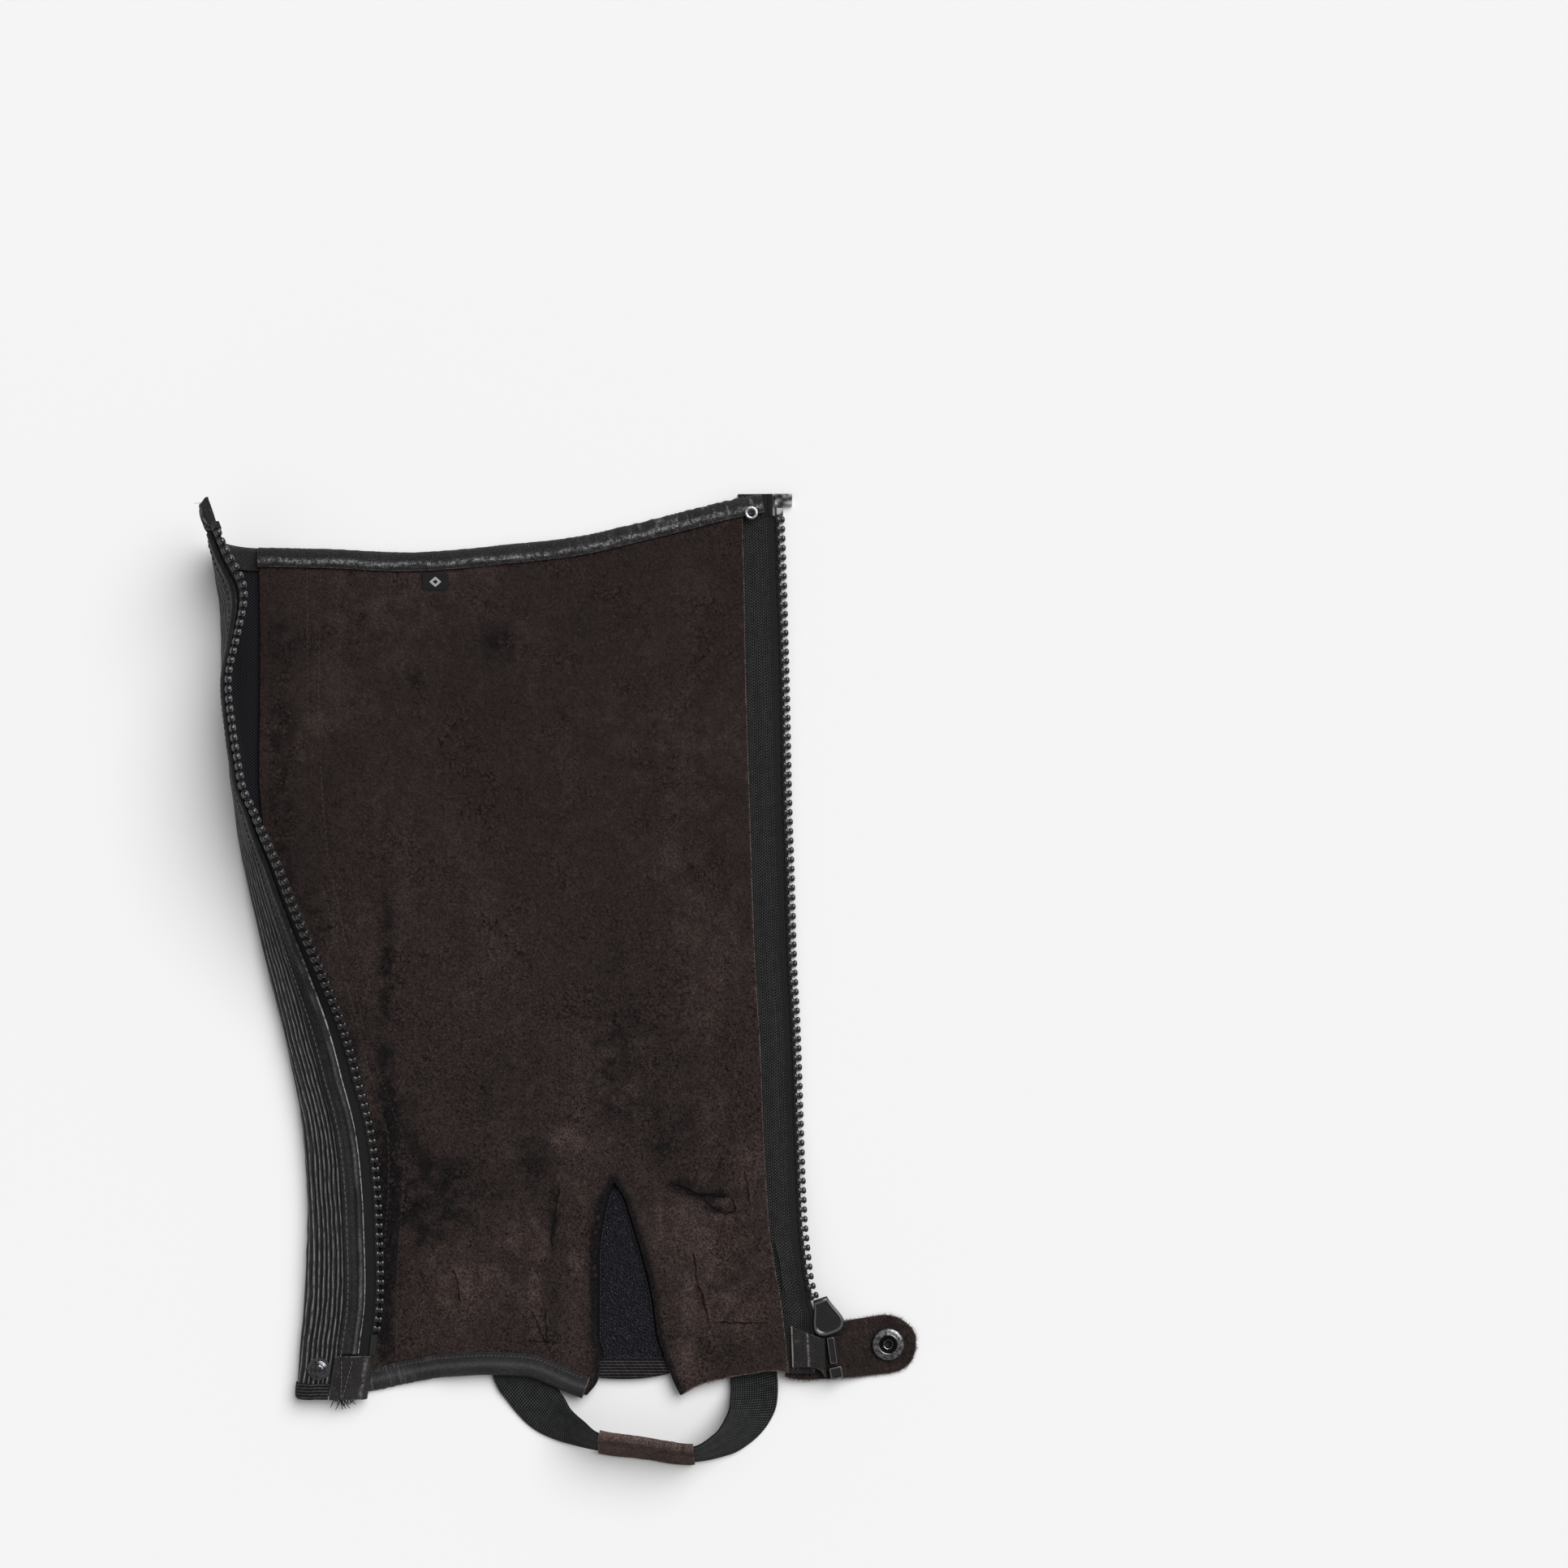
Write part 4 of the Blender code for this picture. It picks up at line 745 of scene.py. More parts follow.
def makeKnit(name, low, high, loop):
    # slanted loops on a place that wanders, paler in patches, with painted shade by the slit
    made, tree, shader = newMaterial(name, 0.82, specular=0.1)
    across, along = clothLay(tree)
    place = placeInMillimetres(tree)
    wander = noise(place, 0.9, 3.0)
    twill = useGroup(twillGroup, across=plus(across, times(wander, 2.2)),
                     along=plus(along, times(wander, 1.5)), float=loop, band=400.0, slant=0.9)
    crest = times(twill["Crest"], ramp(noise(place, 1.1, 4.0, 0.7), 0.35, 0.65, 0.25, 1.2),
                  ramp(pointMask(tree, "slitShade"), 0.0, 1.0, 1.0, 0.25))
    return clad(made, shader, blendColour(crest, low, high), twill["Height"], 0.0003)


def makeWebbing(name, low, high, pitch, twist, depth, dashed=1.0):
    # lengthwise cords bound by short slanted threads
    made, tree, shader = newMaterial(name, 0.7, specular=0.15)
    across, along = clothLay(tree)
    threads = useGroup(threadGroup, across=across, along=along, pitch=pitch, twist=twist)
    cords = plus(times(threads["Dash"], dashed), times(threads["Crest"], 1.0 - dashed))
    crest = times(cords, ramp(noise(placeInMillimetres(tree), 0.3, 3.0), 0.3, 0.7, 0.5, 1.1))
    return clad(made, shader, blendColour(crest, low, high), threads["Height"], depth)


def makePlain(name, base, roughness, metallic=0.0, specular=0.5, scuff=0.25, coat=0.0, glintMask=None,
              pale=None, shadeMask=None, cloudScale=0.7):
    # moulded or plated: faint unevenness in colour and gloss; a pale colour far from the base paints
    # reflections, and painted shade and a painted highlight go where the shade and glint masks say
    made, tree, shader = newMaterial(name, roughness, metallic, specular, coat=coat)
    place = placeInMillimetres(tree)
    cloud = noise(place, cloudScale, 5.0 if cloudScale > 0.5 else 1.0, 0.65)
    shade = blendColour(ramp(cloud, 0.42, 0.62), base, pale or shadeOf(base, 1.7))
    if shadeMask:
        # painted shade: recesses darkened nearly to black
        shade = blendColour(pointMask(tree, shadeMask), shade, (0.012, 0.012, 0.013))
    if glintMask:
        # painted highlight: edges and rims lightened toward grey
        shade = blendColour(pointMask(tree, glintMask), shade, (0.20, 0.20, 0.20))
    feed(shader, "Base Color", shade)
    feed(shader, "Roughness", ramp(cloud, 0.3, 0.75, roughness, min(1.0, roughness + scuff)))
    bump(shader, noise(place, 3.5, 3.0), 0.00003)
    return made


def makeThread(name, *base):
    # a ply of slanted light and dark
    made, tree, shader = newMaterial(name, 0.7, specular=0.15)
    ply = nodeAfter("TexWave", {"Vector": placeInMillimetres(tree), "Scale": 1.3, "Distortion": 1.5,
                                "Detail": 1.0}, bands_direction="DIAGONAL")["Fac"]
    return clad(made, shader, blendColour(ply, shadeOf(base, 0.35), base), ply, 0.0001)


def makeLabelWeave():
    # fine rows of weft with pale yarn where the mask says
    made, tree, shader = newMaterial("labelWeave", 0.75, specular=0.15)
    across, along = clothLay(tree)
    threads = useGroup(threadGroup, across=along, along=across, pitch=0.42, twist=0.5)
    shade = blendColour(threads["Dash"], (0.006, 0.006, 0.007), (0.028, 0.028, 0.03))
    pale = blendColour(threads["Dash"], (0.28, 0.28, 0.28), (0.62, 0.62, 0.61))
    return clad(made, shader, blendColour(ramp(pointMask(tree, "paleYarn"), 0.3, 0.7), shade, pale),
                threads["Height"], 0.00015)


suedeNap = makeSuede("suedeNap", creases=thinCreases)
tabSuede = makeSuede("tabSuede", brightness=0.95, napLength=0.8, cutShare=0.4)
sleeveSuede = makeSuede("sleeveSuede", brightness=1.9, napLength=0.75)
backLeather = makeLeather("backLeather", (0.011, 0.0105, 0.0115), cell=0.9)
bindingLeather = makeLeather(
    "bindingLeather", (0.0125, 0.0118, 0.0132), cell=0.85, grainDepth=0.0005, roughness=0.3, wrinkle=1.0,
    rawColour=(0.075, 0.052, 0.066), streak=(0.7, 4.5, 0.0008), specular=0.45)
ankleLeather = makeLeather(
    "ankleLeather", (0.0098, 0.0092, 0.0103), cell=0.6, grainDepth=0.0002, roughness=0.36, wrinkle=0.4,
    rawColour=(0.24, 0.17, 0.16), streak=(1.1, 5.0, 0.0002), highlightFloor=0.7)
facingLeather = makeLeather(
    "facingLeather", (0.0062, 0.0058, 0.0064), cell=0.9, grainDepth=0.00006, roughness=0.3, wrinkle=0.8,
    rawColour=(0.30, 0.29, 0.29), streak=(1.2, 3.0, 0.0001), specular=0.25,
    highlightColour=(0.13, 0.128, 0.13), highlightFloor=0.5)
capLeather = makeLeather("capLeather", (0.0165, 0.0142, 0.0142), cell=0.7, grainDepth=0.0003, specular=0.3,
                         roughness=0.36, wrinkle=0.7, rawColour=(0.24, 0.22, 0.21))
ribbedElastic, innerElastic, tapeWeave = makeRibbedElastic(), makeInnerElastic(), makeTapeWeave()
gussetKnit = makeKnit("gussetKnit", (0.0035, 0.0035, 0.0050), (0.062, 0.062, 0.078), 1.35)
hemKnit = makeWebbing("hemKnit", (0.004, 0.0036, 0.0042), (0.052, 0.046, 0.051), 1.5, 2.6, 0.0005,
                      dashed=0.25)
strapWebbing = makeWebbing("strapWebbing", (0.005, 0.0052, 0.0055), (0.060, 0.063, 0.065), 1.2, 1.3,
                           0.0004)
toothPlastic = makePlain("toothPlastic", (0.0042, 0.0042, 0.0046), 0.14, specular=0.6, scuff=0.1,
                         glintMask="paintedGlint")
sliderMetal = makePlain("sliderMetal", (0.0032, 0.0032, 0.0038), 0.09, specular=0.6, scuff=0.06,
                        glintMask="rimLight")
darkNickel = makePlain("darkNickel", (0.085, 0.085, 0.09), 0.2, metallic=1.0, scuff=0.15,
                       pale=(0.26, 0.26, 0.27), shadeMask="recessShade")
brightNickel = makePlain("brightNickel", (0.42, 0.42, 0.43), 0.2, metallic=1.0, scuff=0.2)
studMetal = makePlain("studMetal", (0.055, 0.055, 0.06), 0.12, metallic=1.0, scuff=0.05,
                      pale=(0.16, 0.16, 0.17))
# painted reflection: large blotches between near black and pale grey stand for what the metal mirrors
paintedReflectionMetal = makePlain("paintedReflectionMetal", (0.05, 0.05, 0.055), 0.16, metallic=1.0, scuff=0.1,
                     pale=(0.66, 0.66, 0.67), cloudScale=0.17)
clearPlastic = makePlain("clearPlastic", (0.03, 0.03, 0.03), 0.06, specular=0.6, coat=1.0, scuff=0.05)
feed(clearPlastic.node_tree.nodes["Principled BSDF"], "Alpha", 0.42)
greyThread = makeThread("greyThread", 0.075, 0.073, 0.072)
ankleThread = makeThread("ankleThread", 0.115, 0.108, 0.106)
seamThread = makeThread("seamThread", 0.095, 0.082, 0.075)
tapeThread = makeThread("tapeThread", 0.062, 0.047, 0.040)
knitThread = makeThread("knitThread", 0.050, 0.050, 0.058)
suedeFibre = makeThread("suedeFibre", 0.060, 0.042, 0.034)
blackThread = makeThread("blackThread", 0.035, 0.034, 0.035)
paleThread = makeThread("paleThread", 0.150, 0.145, 0.142)
labelWeave = makeLabelWeave()
print("materials made")


# Helpers for the cloth pieces.
def nearLine(x, y, line):
    # distance to a line of points
    best = np.full(np.shape(x), 1e9)
    for (ax, ay), (bx, by) in zip(line[:-1], line[1:]):
        dx, dy = bx - ax, by - ay
        t = np.clip(((x - ax) * dx + (y - ay) * dy) / (dx * dx + dy * dy), 0, 1)
        best = np.minimum(best, np.hypot(x - ax - t * dx, y - ay - t * dy))
    return best


def reliefOf(x, y, waves, lines):
    # soft random waves, and ridges or troughs whose section is exp(-(distance/width)^2)
    height = sum(size * softNoise(x, y, length, seed) for length, size, seed in waves)
    for size, width, *line in lines:
        height = height + size * bell(nearLine(x, y, line), width)
    return height


def patchMask(x, y, patches):
    # rounded patches: strength times exp(-distance^2), broken up by soft noise
    total = sum(strength * bell(x - atX, wide) * bell(y - atY, tall)
                for atX, atY, wide, tall, strength in patches)
    return total * (0.8 + 0.5 * softNoise(x, y, 5.0, 71) + 0.35 * softNoise(x, y, 2.3, 72))


def outwardOf(profile):
    # unit normals of a line of (in, up) points, to its right
    tangent = unit(np.gradient(profile, axis=0))
    return np.stack([tangent[:, 1], -tangent[:, 0]], -1)


def smoothSection(section, at):
    # a section's points at given lengths along it
    length = arcLengths(section)
    return stacked(*(smoothCurve(length, part, at) for part in section.T))


def clothPiece(name, low, high, materials, lay, slot, node, held, restsOn, grid=None, **more):
    # a closed wall from the two sheets; the grid given is not used
    piece = closedWall(name, low, high, materials, lay, slot, node, **more)


# Leg panel: rows from the knee to the ankle, with a slit from the apex down.
legPanel = {
    "step": 1.6, "rimRound": 0.25,
    "waves": ((38, 0.30, 11), (13, 0.16, 12), (4.5, 0.05, 13)),
    "lines": (
        (-0.9, 1.3, (62, -104.6), (69, -105.6), (76, -104.8), (86, -106)),
        (-0.9, 1.3, (70, -107), (77, -111.6), (83, -114.6), (88, -114)),
        (-0.8, 5.0, (56, -99), (68, -104.5), (72, -110)), (0.5, 3.0, (70, -100.5), (86, -102)),
        (0.5, 3.0, (76, -108.6), (86, -110.4)),
        (-0.8, 9.0, (-74, -104), (-40, -94), (-2, -80)),
        (-0.7, 7.0, (25.6, 67.6), (26, 0), (25.6, -84)),
        (0.7, 3.0, (-2.4, -112), (-2.4, -172)), (0.7, 3.0, (63.6, -124), (63.6, -172)),
        (-0.8, 1.3, (1.6, -102), (-1, -116), (-2.4, -132)), (-0.7, 1.6, (67.5, -122), (69, -150), (66, -172)),
        (-0.6, 4.0, (36, -100), (52, -118), (60, -140)), (-0.6, 1.4, (44, -150), (58, -166), (70, -176)),
        (-0.5, 1.6, (75, -170), (88, -172), (98, -170)), (-0.6, 2.0, (92, -92), (96, -110), (93, -128)),
        (-0.6, 5.0, (-60, -60), (-30, -70), (4, -74)), (-0.5, 1.5, (-52, -143), (-49, -158)),
        (-0.6, 1.2, (-46, -2.4), (-34, -2.4)),
        (0.25, 1.0, (-41, -144), (-41.6, -152)), (-0.3, 1.2, (-36, -154), (-24, -149), (-8, -148)),
        (-0.35, 5.0, (-30, 166), (-22, 158)), (-0.3, 5.0, (-70, 150), (-68, 138))),
    # rubbed places: x, y, radius x, radius y, strength
    "warm": (
        (-120, 128, 5, 5, 0.35), (-82, 172, 22, 30, 0.22), (-120, 120, 20, 60, 0.12),
        (-62, 120, 12, 16, 0.18), (30, 150, 26, 40, 0.10), (66, 30, 20, 40, 0.12), (6, -77, 10, 6, 0.6),
        (-27, -86, 9, 5, 0.25), (10, -118, 6, 34, 0.38), (-44, -146, 26, 26, 0.12), (-72, -168, 9, 9, 0.2),
        (-16, -122, 12, 12, 0.4), (80, -124, 24, 16, 0.42), (66, -146, 12, 26, 0.36),
        (64, -186, 6, 8, 0.4), (98, -174, 10, 8, 0.15), (95, -90, 8, 12, 0.35), (88, -160, 15, 14, 0.55),
        (-10, -150, 5, 24, 0.5), (52, -120, 7, 14, 0.4), (62, 30, 8, 20, 0.2), (36, -40, 14, 16, 0.18),
        (-70, 196, 60, 18, 0.25), (64, 112, 34, 50, 0.28), (-40, -150, 24, 12, 0.3)),
    # stains and painted shade, in the same way: the long narrow bands beside the elastic side are its painted
    # shadow, and the thin ones on creases are painted crease shade
    "stainAndShade": (
        (-30, 166, 11, 11, 0.55), (-70, 148, 6, 11, 0.55), (-131, 170, 9, 10, 0.45), (26, 0, 11, 60, 0.26),
        (-10, -90, 13, 15, 0.55), (-56, -98, 28, 15, 0.5), (-3, -160, 6, 22, 0.5), (21, -130, 6, 30, 0.6),
        (56, -76, 16, 16, 0.5), (71, -103, 10, 8, 0.7), (84, -97, 8, 6, 0.35), (95, -116, 6, 8, 0.35),
        (99, -153, 7, 10, 0.3), (80, -181, 15, 6, 0.45), (60, 46, 12, 24, 0.25), (-83.5, -125, 5, 80, 1.3),
        (-84, 10, 4, 60, 0.6), (-134, 100, 9, 80, 0.5), (-118, 15, 10, 45, 0.55), (-100, -35, 9, 30, 0.5),
        (-70, -120, 14, 20, 0.35), (-74, -84, 14, 22, 0.4), (-36, -52, 16, 20, 0.3),
        (30, -30, 14, 30, 0.26), (76, -105.4, 9, 1.4, 0.9), (79, -112.4, 8, 2.0, 0.9),
        (60, -100, 6, 3, 0.9), (-1.5, -118, 1.6, 16, 0.9), (12, 176, 9, 9, 0.3), (-58, -114, 26, 15, 0.5),
        (30, -56, 18, 20, 0.3), (-14, -42, 24, 30, 0.22), (62, -28, 24, 26, 0.4), (-74, -58, 18, 18, 0.3),
        (88, 4, 14, 20, 0.25)),
}


def panelGrid(heights, shares, side):
    # a row's height, moved so that the first and last rows follow the top and bottom edges
    start = np.broadcast_to(heights[:, None], (len(heights), len(shares))).astype(float)
    y = start
    for _ in range(3):
        middle = np.where(y < apex[1], slitX(side, y), apex[0])
        if side == "left":
            outer = edgeX(leftEdge, y)
            x = outer + (middle - outer) * shares
        else:
            x = middle + (edgeX(rightEdge, y) - middle) * shares
        up = easeStep(110, 212.6, start) * (edgeY(topEdge, x) - 2.6 - 212.6)
        low = edgeY(bottomLeft if side == "left" else bottomRight, x)
        y = start + up + easeStep(-112, -200, start) * (low + 200)
    return x, y


def spacedShares(length, step, close=(0.4, 1.1)):
    # shares of a length: even steps with closer ones at either end
    inner = np.linspace(close[-1] + step * 0.6, length - close[-1] - step * 0.6,
                        int(round((length - 2 * close[-1] - step * 1.2) / step)) + 1)
    return np.r_[0, close, inner, length - np.array(close[::-1]), length] / length


mark = {"low": (-66.0, 192.6), "high": (-53.2, 200.6), "middle": (-59.6, 196.7), "base": 2.0, "thick": 0.55}


def makeMark():
    # woven mark: its threads are rows across, and a plain lozenge is woven in a paler yarn
    (left, bottom), (right, top) = mark["low"], mark["high"]
    x = np.linspace(left, right, 65)[None, :]
    y = np.linspace(bottom, top, 41)[:, None]
    edge = np.minimum(np.minimum(x - left, right - x), np.minimum(y - bottom, top - y))
    lozenge = np.abs(x - mark["middle"][0]) / 3.0 + np.abs(y - mark["middle"][1]) / 2.6
    pale = easeStep(1.05, 0.92, lozenge) * easeStep(0.38, 0.5, lozenge)
    base = underLeather(x, y) + mark["base"]
    curl = 0.35 * easeStep(0.9, 0.0, top - y) + 0.15 * easeStep(2, 0, x - left)
    height = base + mark["thick"] + 0.12 * pale + curl * 0.5 - 0.2 * easeStep(0.35, 0, edge)
    return closedWall("sizeMark", stacked(x, y, base), stacked(x, y, height), [labelWeave], (x, y),
                      "label_cloth", "size_mark", masks={"paleYarn": pale})


def makeLegPanel():
    size = legPanel
    upper = apex[1] + (212.6 - apex[1]) * (1 - spacedShares(212.6 - apex[1], size["step"]))
    lower = apex[1] - (apex[1] + 200) * spacedShares(apex[1] + 200, size["step"])
    heights = np.concatenate([upper, lower[1:]])
    apexRow, rows = len(upper) - 1, len(heights)
    leftShares, rightShares = spacedShares(150, size["step"]), spacedShares(64, size["step"])
    leftX, leftY = panelGrid(heights, leftShares, "left")
    rightX, rightY = panelGrid(heights, rightShares, "right")
    x = np.concatenate([leftX.ravel(), rightX[:, 1:].ravel(), rightX[apexRow + 1:, 0]])
    y = np.concatenate([leftY.ravel(), rightY[:, 1:].ravel(), rightY[apexRow + 1:, 0]])
    spanLeft, spanRight = len(leftShares), len(rightShares)
    leftIndex = np.arange(rows * spanLeft).reshape(rows, spanLeft)
    inner = rows * spanLeft + np.arange(rows * (spanRight - 1)).reshape(rows, -1)
    slitColumn = np.concatenate([leftIndex[:apexRow + 1, -1],
                                 rows * (spanLeft + spanRight - 1) + np.arange(rows - apexRow - 1)])
    faces = np.concatenate([
        np.stack([k[:-1, :-1], k[1:, :-1], k[1:, 1:], k[:-1, 1:]], -1).reshape(-1, 4)
        for k in (leftIndex, np.column_stack([slitColumn, inner]))])
    # distance to the panel's own edges, for the rounded rim and the pale cut
    toRight = edgeX(rightEdge, y) - x
    toLeft = x - edgeX(leftEdge, y)
    onLeft = x < apex[0]
    toSlit = np.where(y < apex[1], np.where(onLeft, slitX("left", y) - x, x - slitX("right", y)), 99)
    toLow = y - np.where(onLeft, edgeY(bottomLeft, x), edgeY(bottomRight, x))
    nearest = np.minimum(np.minimum(toRight, toLeft), np.minimum(toSlit, toLow))
    base = underLeather(x, y)
    bound = easeStep(0, 12, edgeY(topEdge, x) - y) * easeStep(0, 10, np.where(onLeft, toLow, 20))
    relief = reliefOf(x, y, size["waves"], size["lines"]) * bound * easeStep(-1, 5, nearest)
    for line in seams.values():
        relief = relief - 0.4 * bell(nearLine(x, y, line), 0.9) * easeStep(-210, -190, y)
    relief = relief + 0.4 * bell(np.minimum(toSlit, 90) - 3.2, 1.6) * (y < apex[1])
    top = base + wall["leather"] + relief - size["rimRound"] * easeStep(1.0, 0, nearest)
    cut = np.maximum(easeStep(0.75, 0.1, toRight), easeStep(0.9, 0.2, np.where(onLeft, 9, toLow)))
    cut = np.maximum(cut, easeStep(0.7, 0.1, toSlit) * easeStep(-170, -190, y) * 0.6)
    cut = np.maximum(cut, 0.3 * easeStep(0.8, 0.2, toLeft))
    slitRim = np.where(y < apex[1], toSlit, np.hypot(x - apex[0], y - apex[1]))
    # painted shade along the slit's edges, added to the stains
    stainAndShade = patchMask(x, y, size["stainAndShade"]) + 0.75 * easeStep(5.5, 1.0, slitRim)
    piece = closedWall("legPanel", stacked(x, y, base), stacked(x, y, top), [suedeNap, backLeather], (x, y),
                       "brown_suede", "leg_panel", faces=faces, underSlot=1, sharp=50,
                       masks={"cutEdge": cut, "warm": 1.25 * patchMask(x, y, size["warm"]), "stainAndShade": stainAndShade})
    makeMark()


# The two seams through the leather, which show on the suede side.
seams = {
    "outerSeam": ((-122.8, 206), (-122.4, 103.6), (-121.2, 79.6), (-118.4, 59.6), (-116, 49.6),
                  (-110.8, 29.6), (-96, -30), (-82.8, -76.4), (-82.4, -92.4), (-83.6, -116.4), (-86.5, -150)),
    "innerSeam": ((-116, 203.6), (-117.2, 143.6), (-116, 103.6), (-114.8, 83.6), (-112.4, 59.6),
                  (-107.6, 37.6), (-102.4, 11.6), (-96.4, -16.4), (-92.4, -32.4), (-75.6, -76.4),
                  (-75.2, -92.4), (-76.4, -116.4), (-78, -136.4), (-79, -187)),
}
makeLegPanel()
print("leg panel made")


# Elastic side: ribbed on its outer face from the fold on, plain inside.
stretchSide = {"ribs": 12, "perRib": 10, "step": 2.0, "start": -9.0, "facing": 17.5, "wander": 0.5,
               "cord": 0.85}


def makeStretchPanel():
    # each rib is a half circle across, on a middle surface that the ribs wander over
    size = stretchSide
    y = np.linspace(-202.8, 211, int(413.8 / size["step"]))[:, None]
    run = smoothCurve(flapTable["y"], flapTable["run"], y)
    end = flapWidth(y) - size["facing"]
    share = np.linspace(0, 1, size["ribs"] * size["perRib"] + 1)
    across = np.hstack([size["start"] + (run - size["start"]) * np.linspace(0, 0.9, 8),
                        run + (end - run) * share])
    turns = np.r_[np.zeros(8), share * size["ribs"]]
    part = turns - np.floor(turns)
    crest = np.sqrt(np.clip(1 - (2 * part - 1) ** 2, 0, 1)) * (turns > 0)
    inside = easeStep(0, 0.2, turns) * easeStep(size["ribs"], size["ribs"] - 0.2, turns)
    swing = size["wander"] * inside * (softNoise(across, y, 26, 31) + 0.5 * softNoise(across * 3, y, 7, 32))
    uneven = 1 + 0.25 * softNoise(turns * 9.3, y, 6, 33)
    outer = flapPoint(y, across + swing, wall["elastic"] / 2 + size["cord"] * crest * uneven)
    clothPiece("stretchPanel", flapPoint(y, across, -wall["elastic"] / 2), outer,
               [ribbedElastic, innerElastic], (across, y), "black_elastic", "stretch_panel", "laid",
               ["leg_panel", "zip_tape_left"], masks={"crest": (0, crest + 0.4 * (turns == 0))}, underSlot=1,
               sharp=70)


facing = sizeTable("out low high", (20.2, 1.4, 1.9), (19.6, 1.4, 2.35), (18.4, 1.4, 2.5), (17.0, 1.4, 2.3),
                   (15.6, 1.4, 2.45), (14.2, 1.3, 2.3), (13.2, 1.3, 2.5), (12.1, 1.25, 3.2),
                   (11.2, 1.2, 3.0), (10.4, 1.1, 2.4), (9.9, 1.0, 2.05), (9.6, 0.9, 1.7))
facingColumns = np.r_[20.2, 19.9, np.linspace(19.6, 10.4, 20), 10.1, 9.9, 9.75, 9.6]


def makeFlapTrim():
    # facing: a strip read from its table at distances from the tooth tips, wrinkled, with a painted highlight
    # along its ridge
    y = np.linspace(-182, 204.6, 320)[:, None]
    out = facingColumns[None, :]
    row = readRow(facing, out)
    across = flapWidth(y) - out
    wrinkle = 0.10 * softNoise(out * 2, y, 7, 41) + 0.12 * np.abs(softNoise(out * 0.5, y, 3.1, 42))
    wrinkle = wrinkle * easeStep(9.6, 11, out) * easeStep(20.2, 19, out)
    ridge = bell(out - 11.9 - 0.25 * softNoise(y, 0, 12, 43), 0.8)
    ridge = ridge * (0.35 + 0.65 * easeStep(-100, -145, y) + 0.45 * softNoise(y, 0, 8, 44))
    # painted highlight along the ridge, stronger toward the ankle, with faint specks elsewhere
    paintedHighlight = np.clip(ridge, 0, 1) + 0.12 * easeStep(0.5, 0.9, softNoise(out, y, 1.6, 45))
    cut = easeStep(10.25, 9.8, out) * (1 - 0.65 * easeStep(-60, 60, y))
    clothPiece("zipFacing", flapPoint(y, across, row["low"]), flapPoint(y, across, row["high"] + wrinkle),
               [facingLeather], (out, y), "black_leather", "zip_facing", "laid", ["stretch_panel"],
               masks={"cutEdge": cut, "paintedHighlight": paintedHighlight}, sharp=60)

    # tape: a bead by the teeth, and the woven part that goes under the facing
    y = np.linspace(-202, 204.6, 300)[:, None]
    nearTeeth = 2.9 + 2.1 * easeStep(-172.5, -173.5, y) + 3.6 * easeStep(-183.5, -184.5, y)
    out = 17.2 + (nearTeeth - 17.2) * np.linspace(0, 1, 26)
    half = wall["tape"] / 2 + 0.45 * easeStep(5.6, 4.6, out)
    across = flapWidth(y) - out
    clothPiece("zipTapeLeft", flapPoint(y, across, -half), flapPoint(y, across, half), [tapeWeave], (out, y),
               "zip_tape", "zip_tape_left", "laid", ["stretch_panel"],
               masks={"plainWeaveShade": easeStep(9.9, 9.4, out)}, sharp=60)


makeStretchPanel()
makeFlapTrim()
print("elastic side made")


# Zip teeth: base block, neck and round head, as rings along the tooth from its root to its tip.
tooth = {
    "pitch": 4.64, "around": 12, "corner": 0.62,
    "rings": ((0.0, 1.6, 1.30), (0.25, 1.9, 1.62), (1.4, 1.9, 1.70), (1.8, 1.65, 1.6),
              (2.15, 1.2, 1.35), (2.5, 1.15, 1.3), (2.85, 1.45, 1.4), (3.6, 1.72, 1.45),
              (4.25, 1.4, 1.2), (4.64, 0.8, 0.7)),
}


def toothShape():
    # superellipse rings: |across/width|^(2/c) + |up/height|^(2/c) = 1, along the tooth
    angle = np.arange(tooth["around"]) * 2 * np.pi / tooth["around"]
    wide, tall = (np.sign(part) * np.abs(part) ** tooth["corner"] for part in (np.cos(angle), np.sin(angle)))
    rings = np.array([stacked(wide * half, 4.7 - t, tall * thick) for t, half, thick in tooth["rings"]])
    return np.concatenate([rings.reshape(-1, 3), [[0, 4.7, 0], [0, 4.7 - 4.68, 0]]])


def makeTeeth(name, tips, towardTape, normals, node, glintLevels):
    # one tooth every pitch: its own axes are along the row, away from the tip, and out of the tape
    origin, along, _, _ = evenFrames(tips, normals, tooth["pitch"], 1.4)
    length = arcLengths(origin)
    into = readAt(length, np.linspace(0, length[-1], len(tips)), towardTape)
    side = unit(into - along * np.sum(into * along, -1, keepdims=True))
    rings, around = len(tooth["rings"]), tooth["around"]
    points, blocks = placedCopies(toothShape(), loftFaces(rings, around),
                                  (origin, along, side, np.cross(along, side)))
    # painted glint: the upper side of each tooth's root and tip rings is lightened, as much as the glint
    # levels say
    paintedGlint = np.zeros((rings, around))
    upper = np.maximum(np.sin(np.arange(around) * 2 * np.pi / around), 0) ** 0.5
    paintedGlint[0], paintedGlint[1], paintedGlint[-3], paintedGlint[-2] = [amount * upper for amount in glintLevels]
    paintedGlint = np.tile(np.r_[paintedGlint.ravel(), 0, 0], len(origin))
    newPiece(name, points, blocks, [toothPlastic], node, sharp=50, masks={"paintedGlint": paintedGlint})


def onTape(x, y, rise=1.0):
    # height of the right tape's under side
    return groundLift(x, y) + lie["clear"] + lie["tapeRise"] * rise


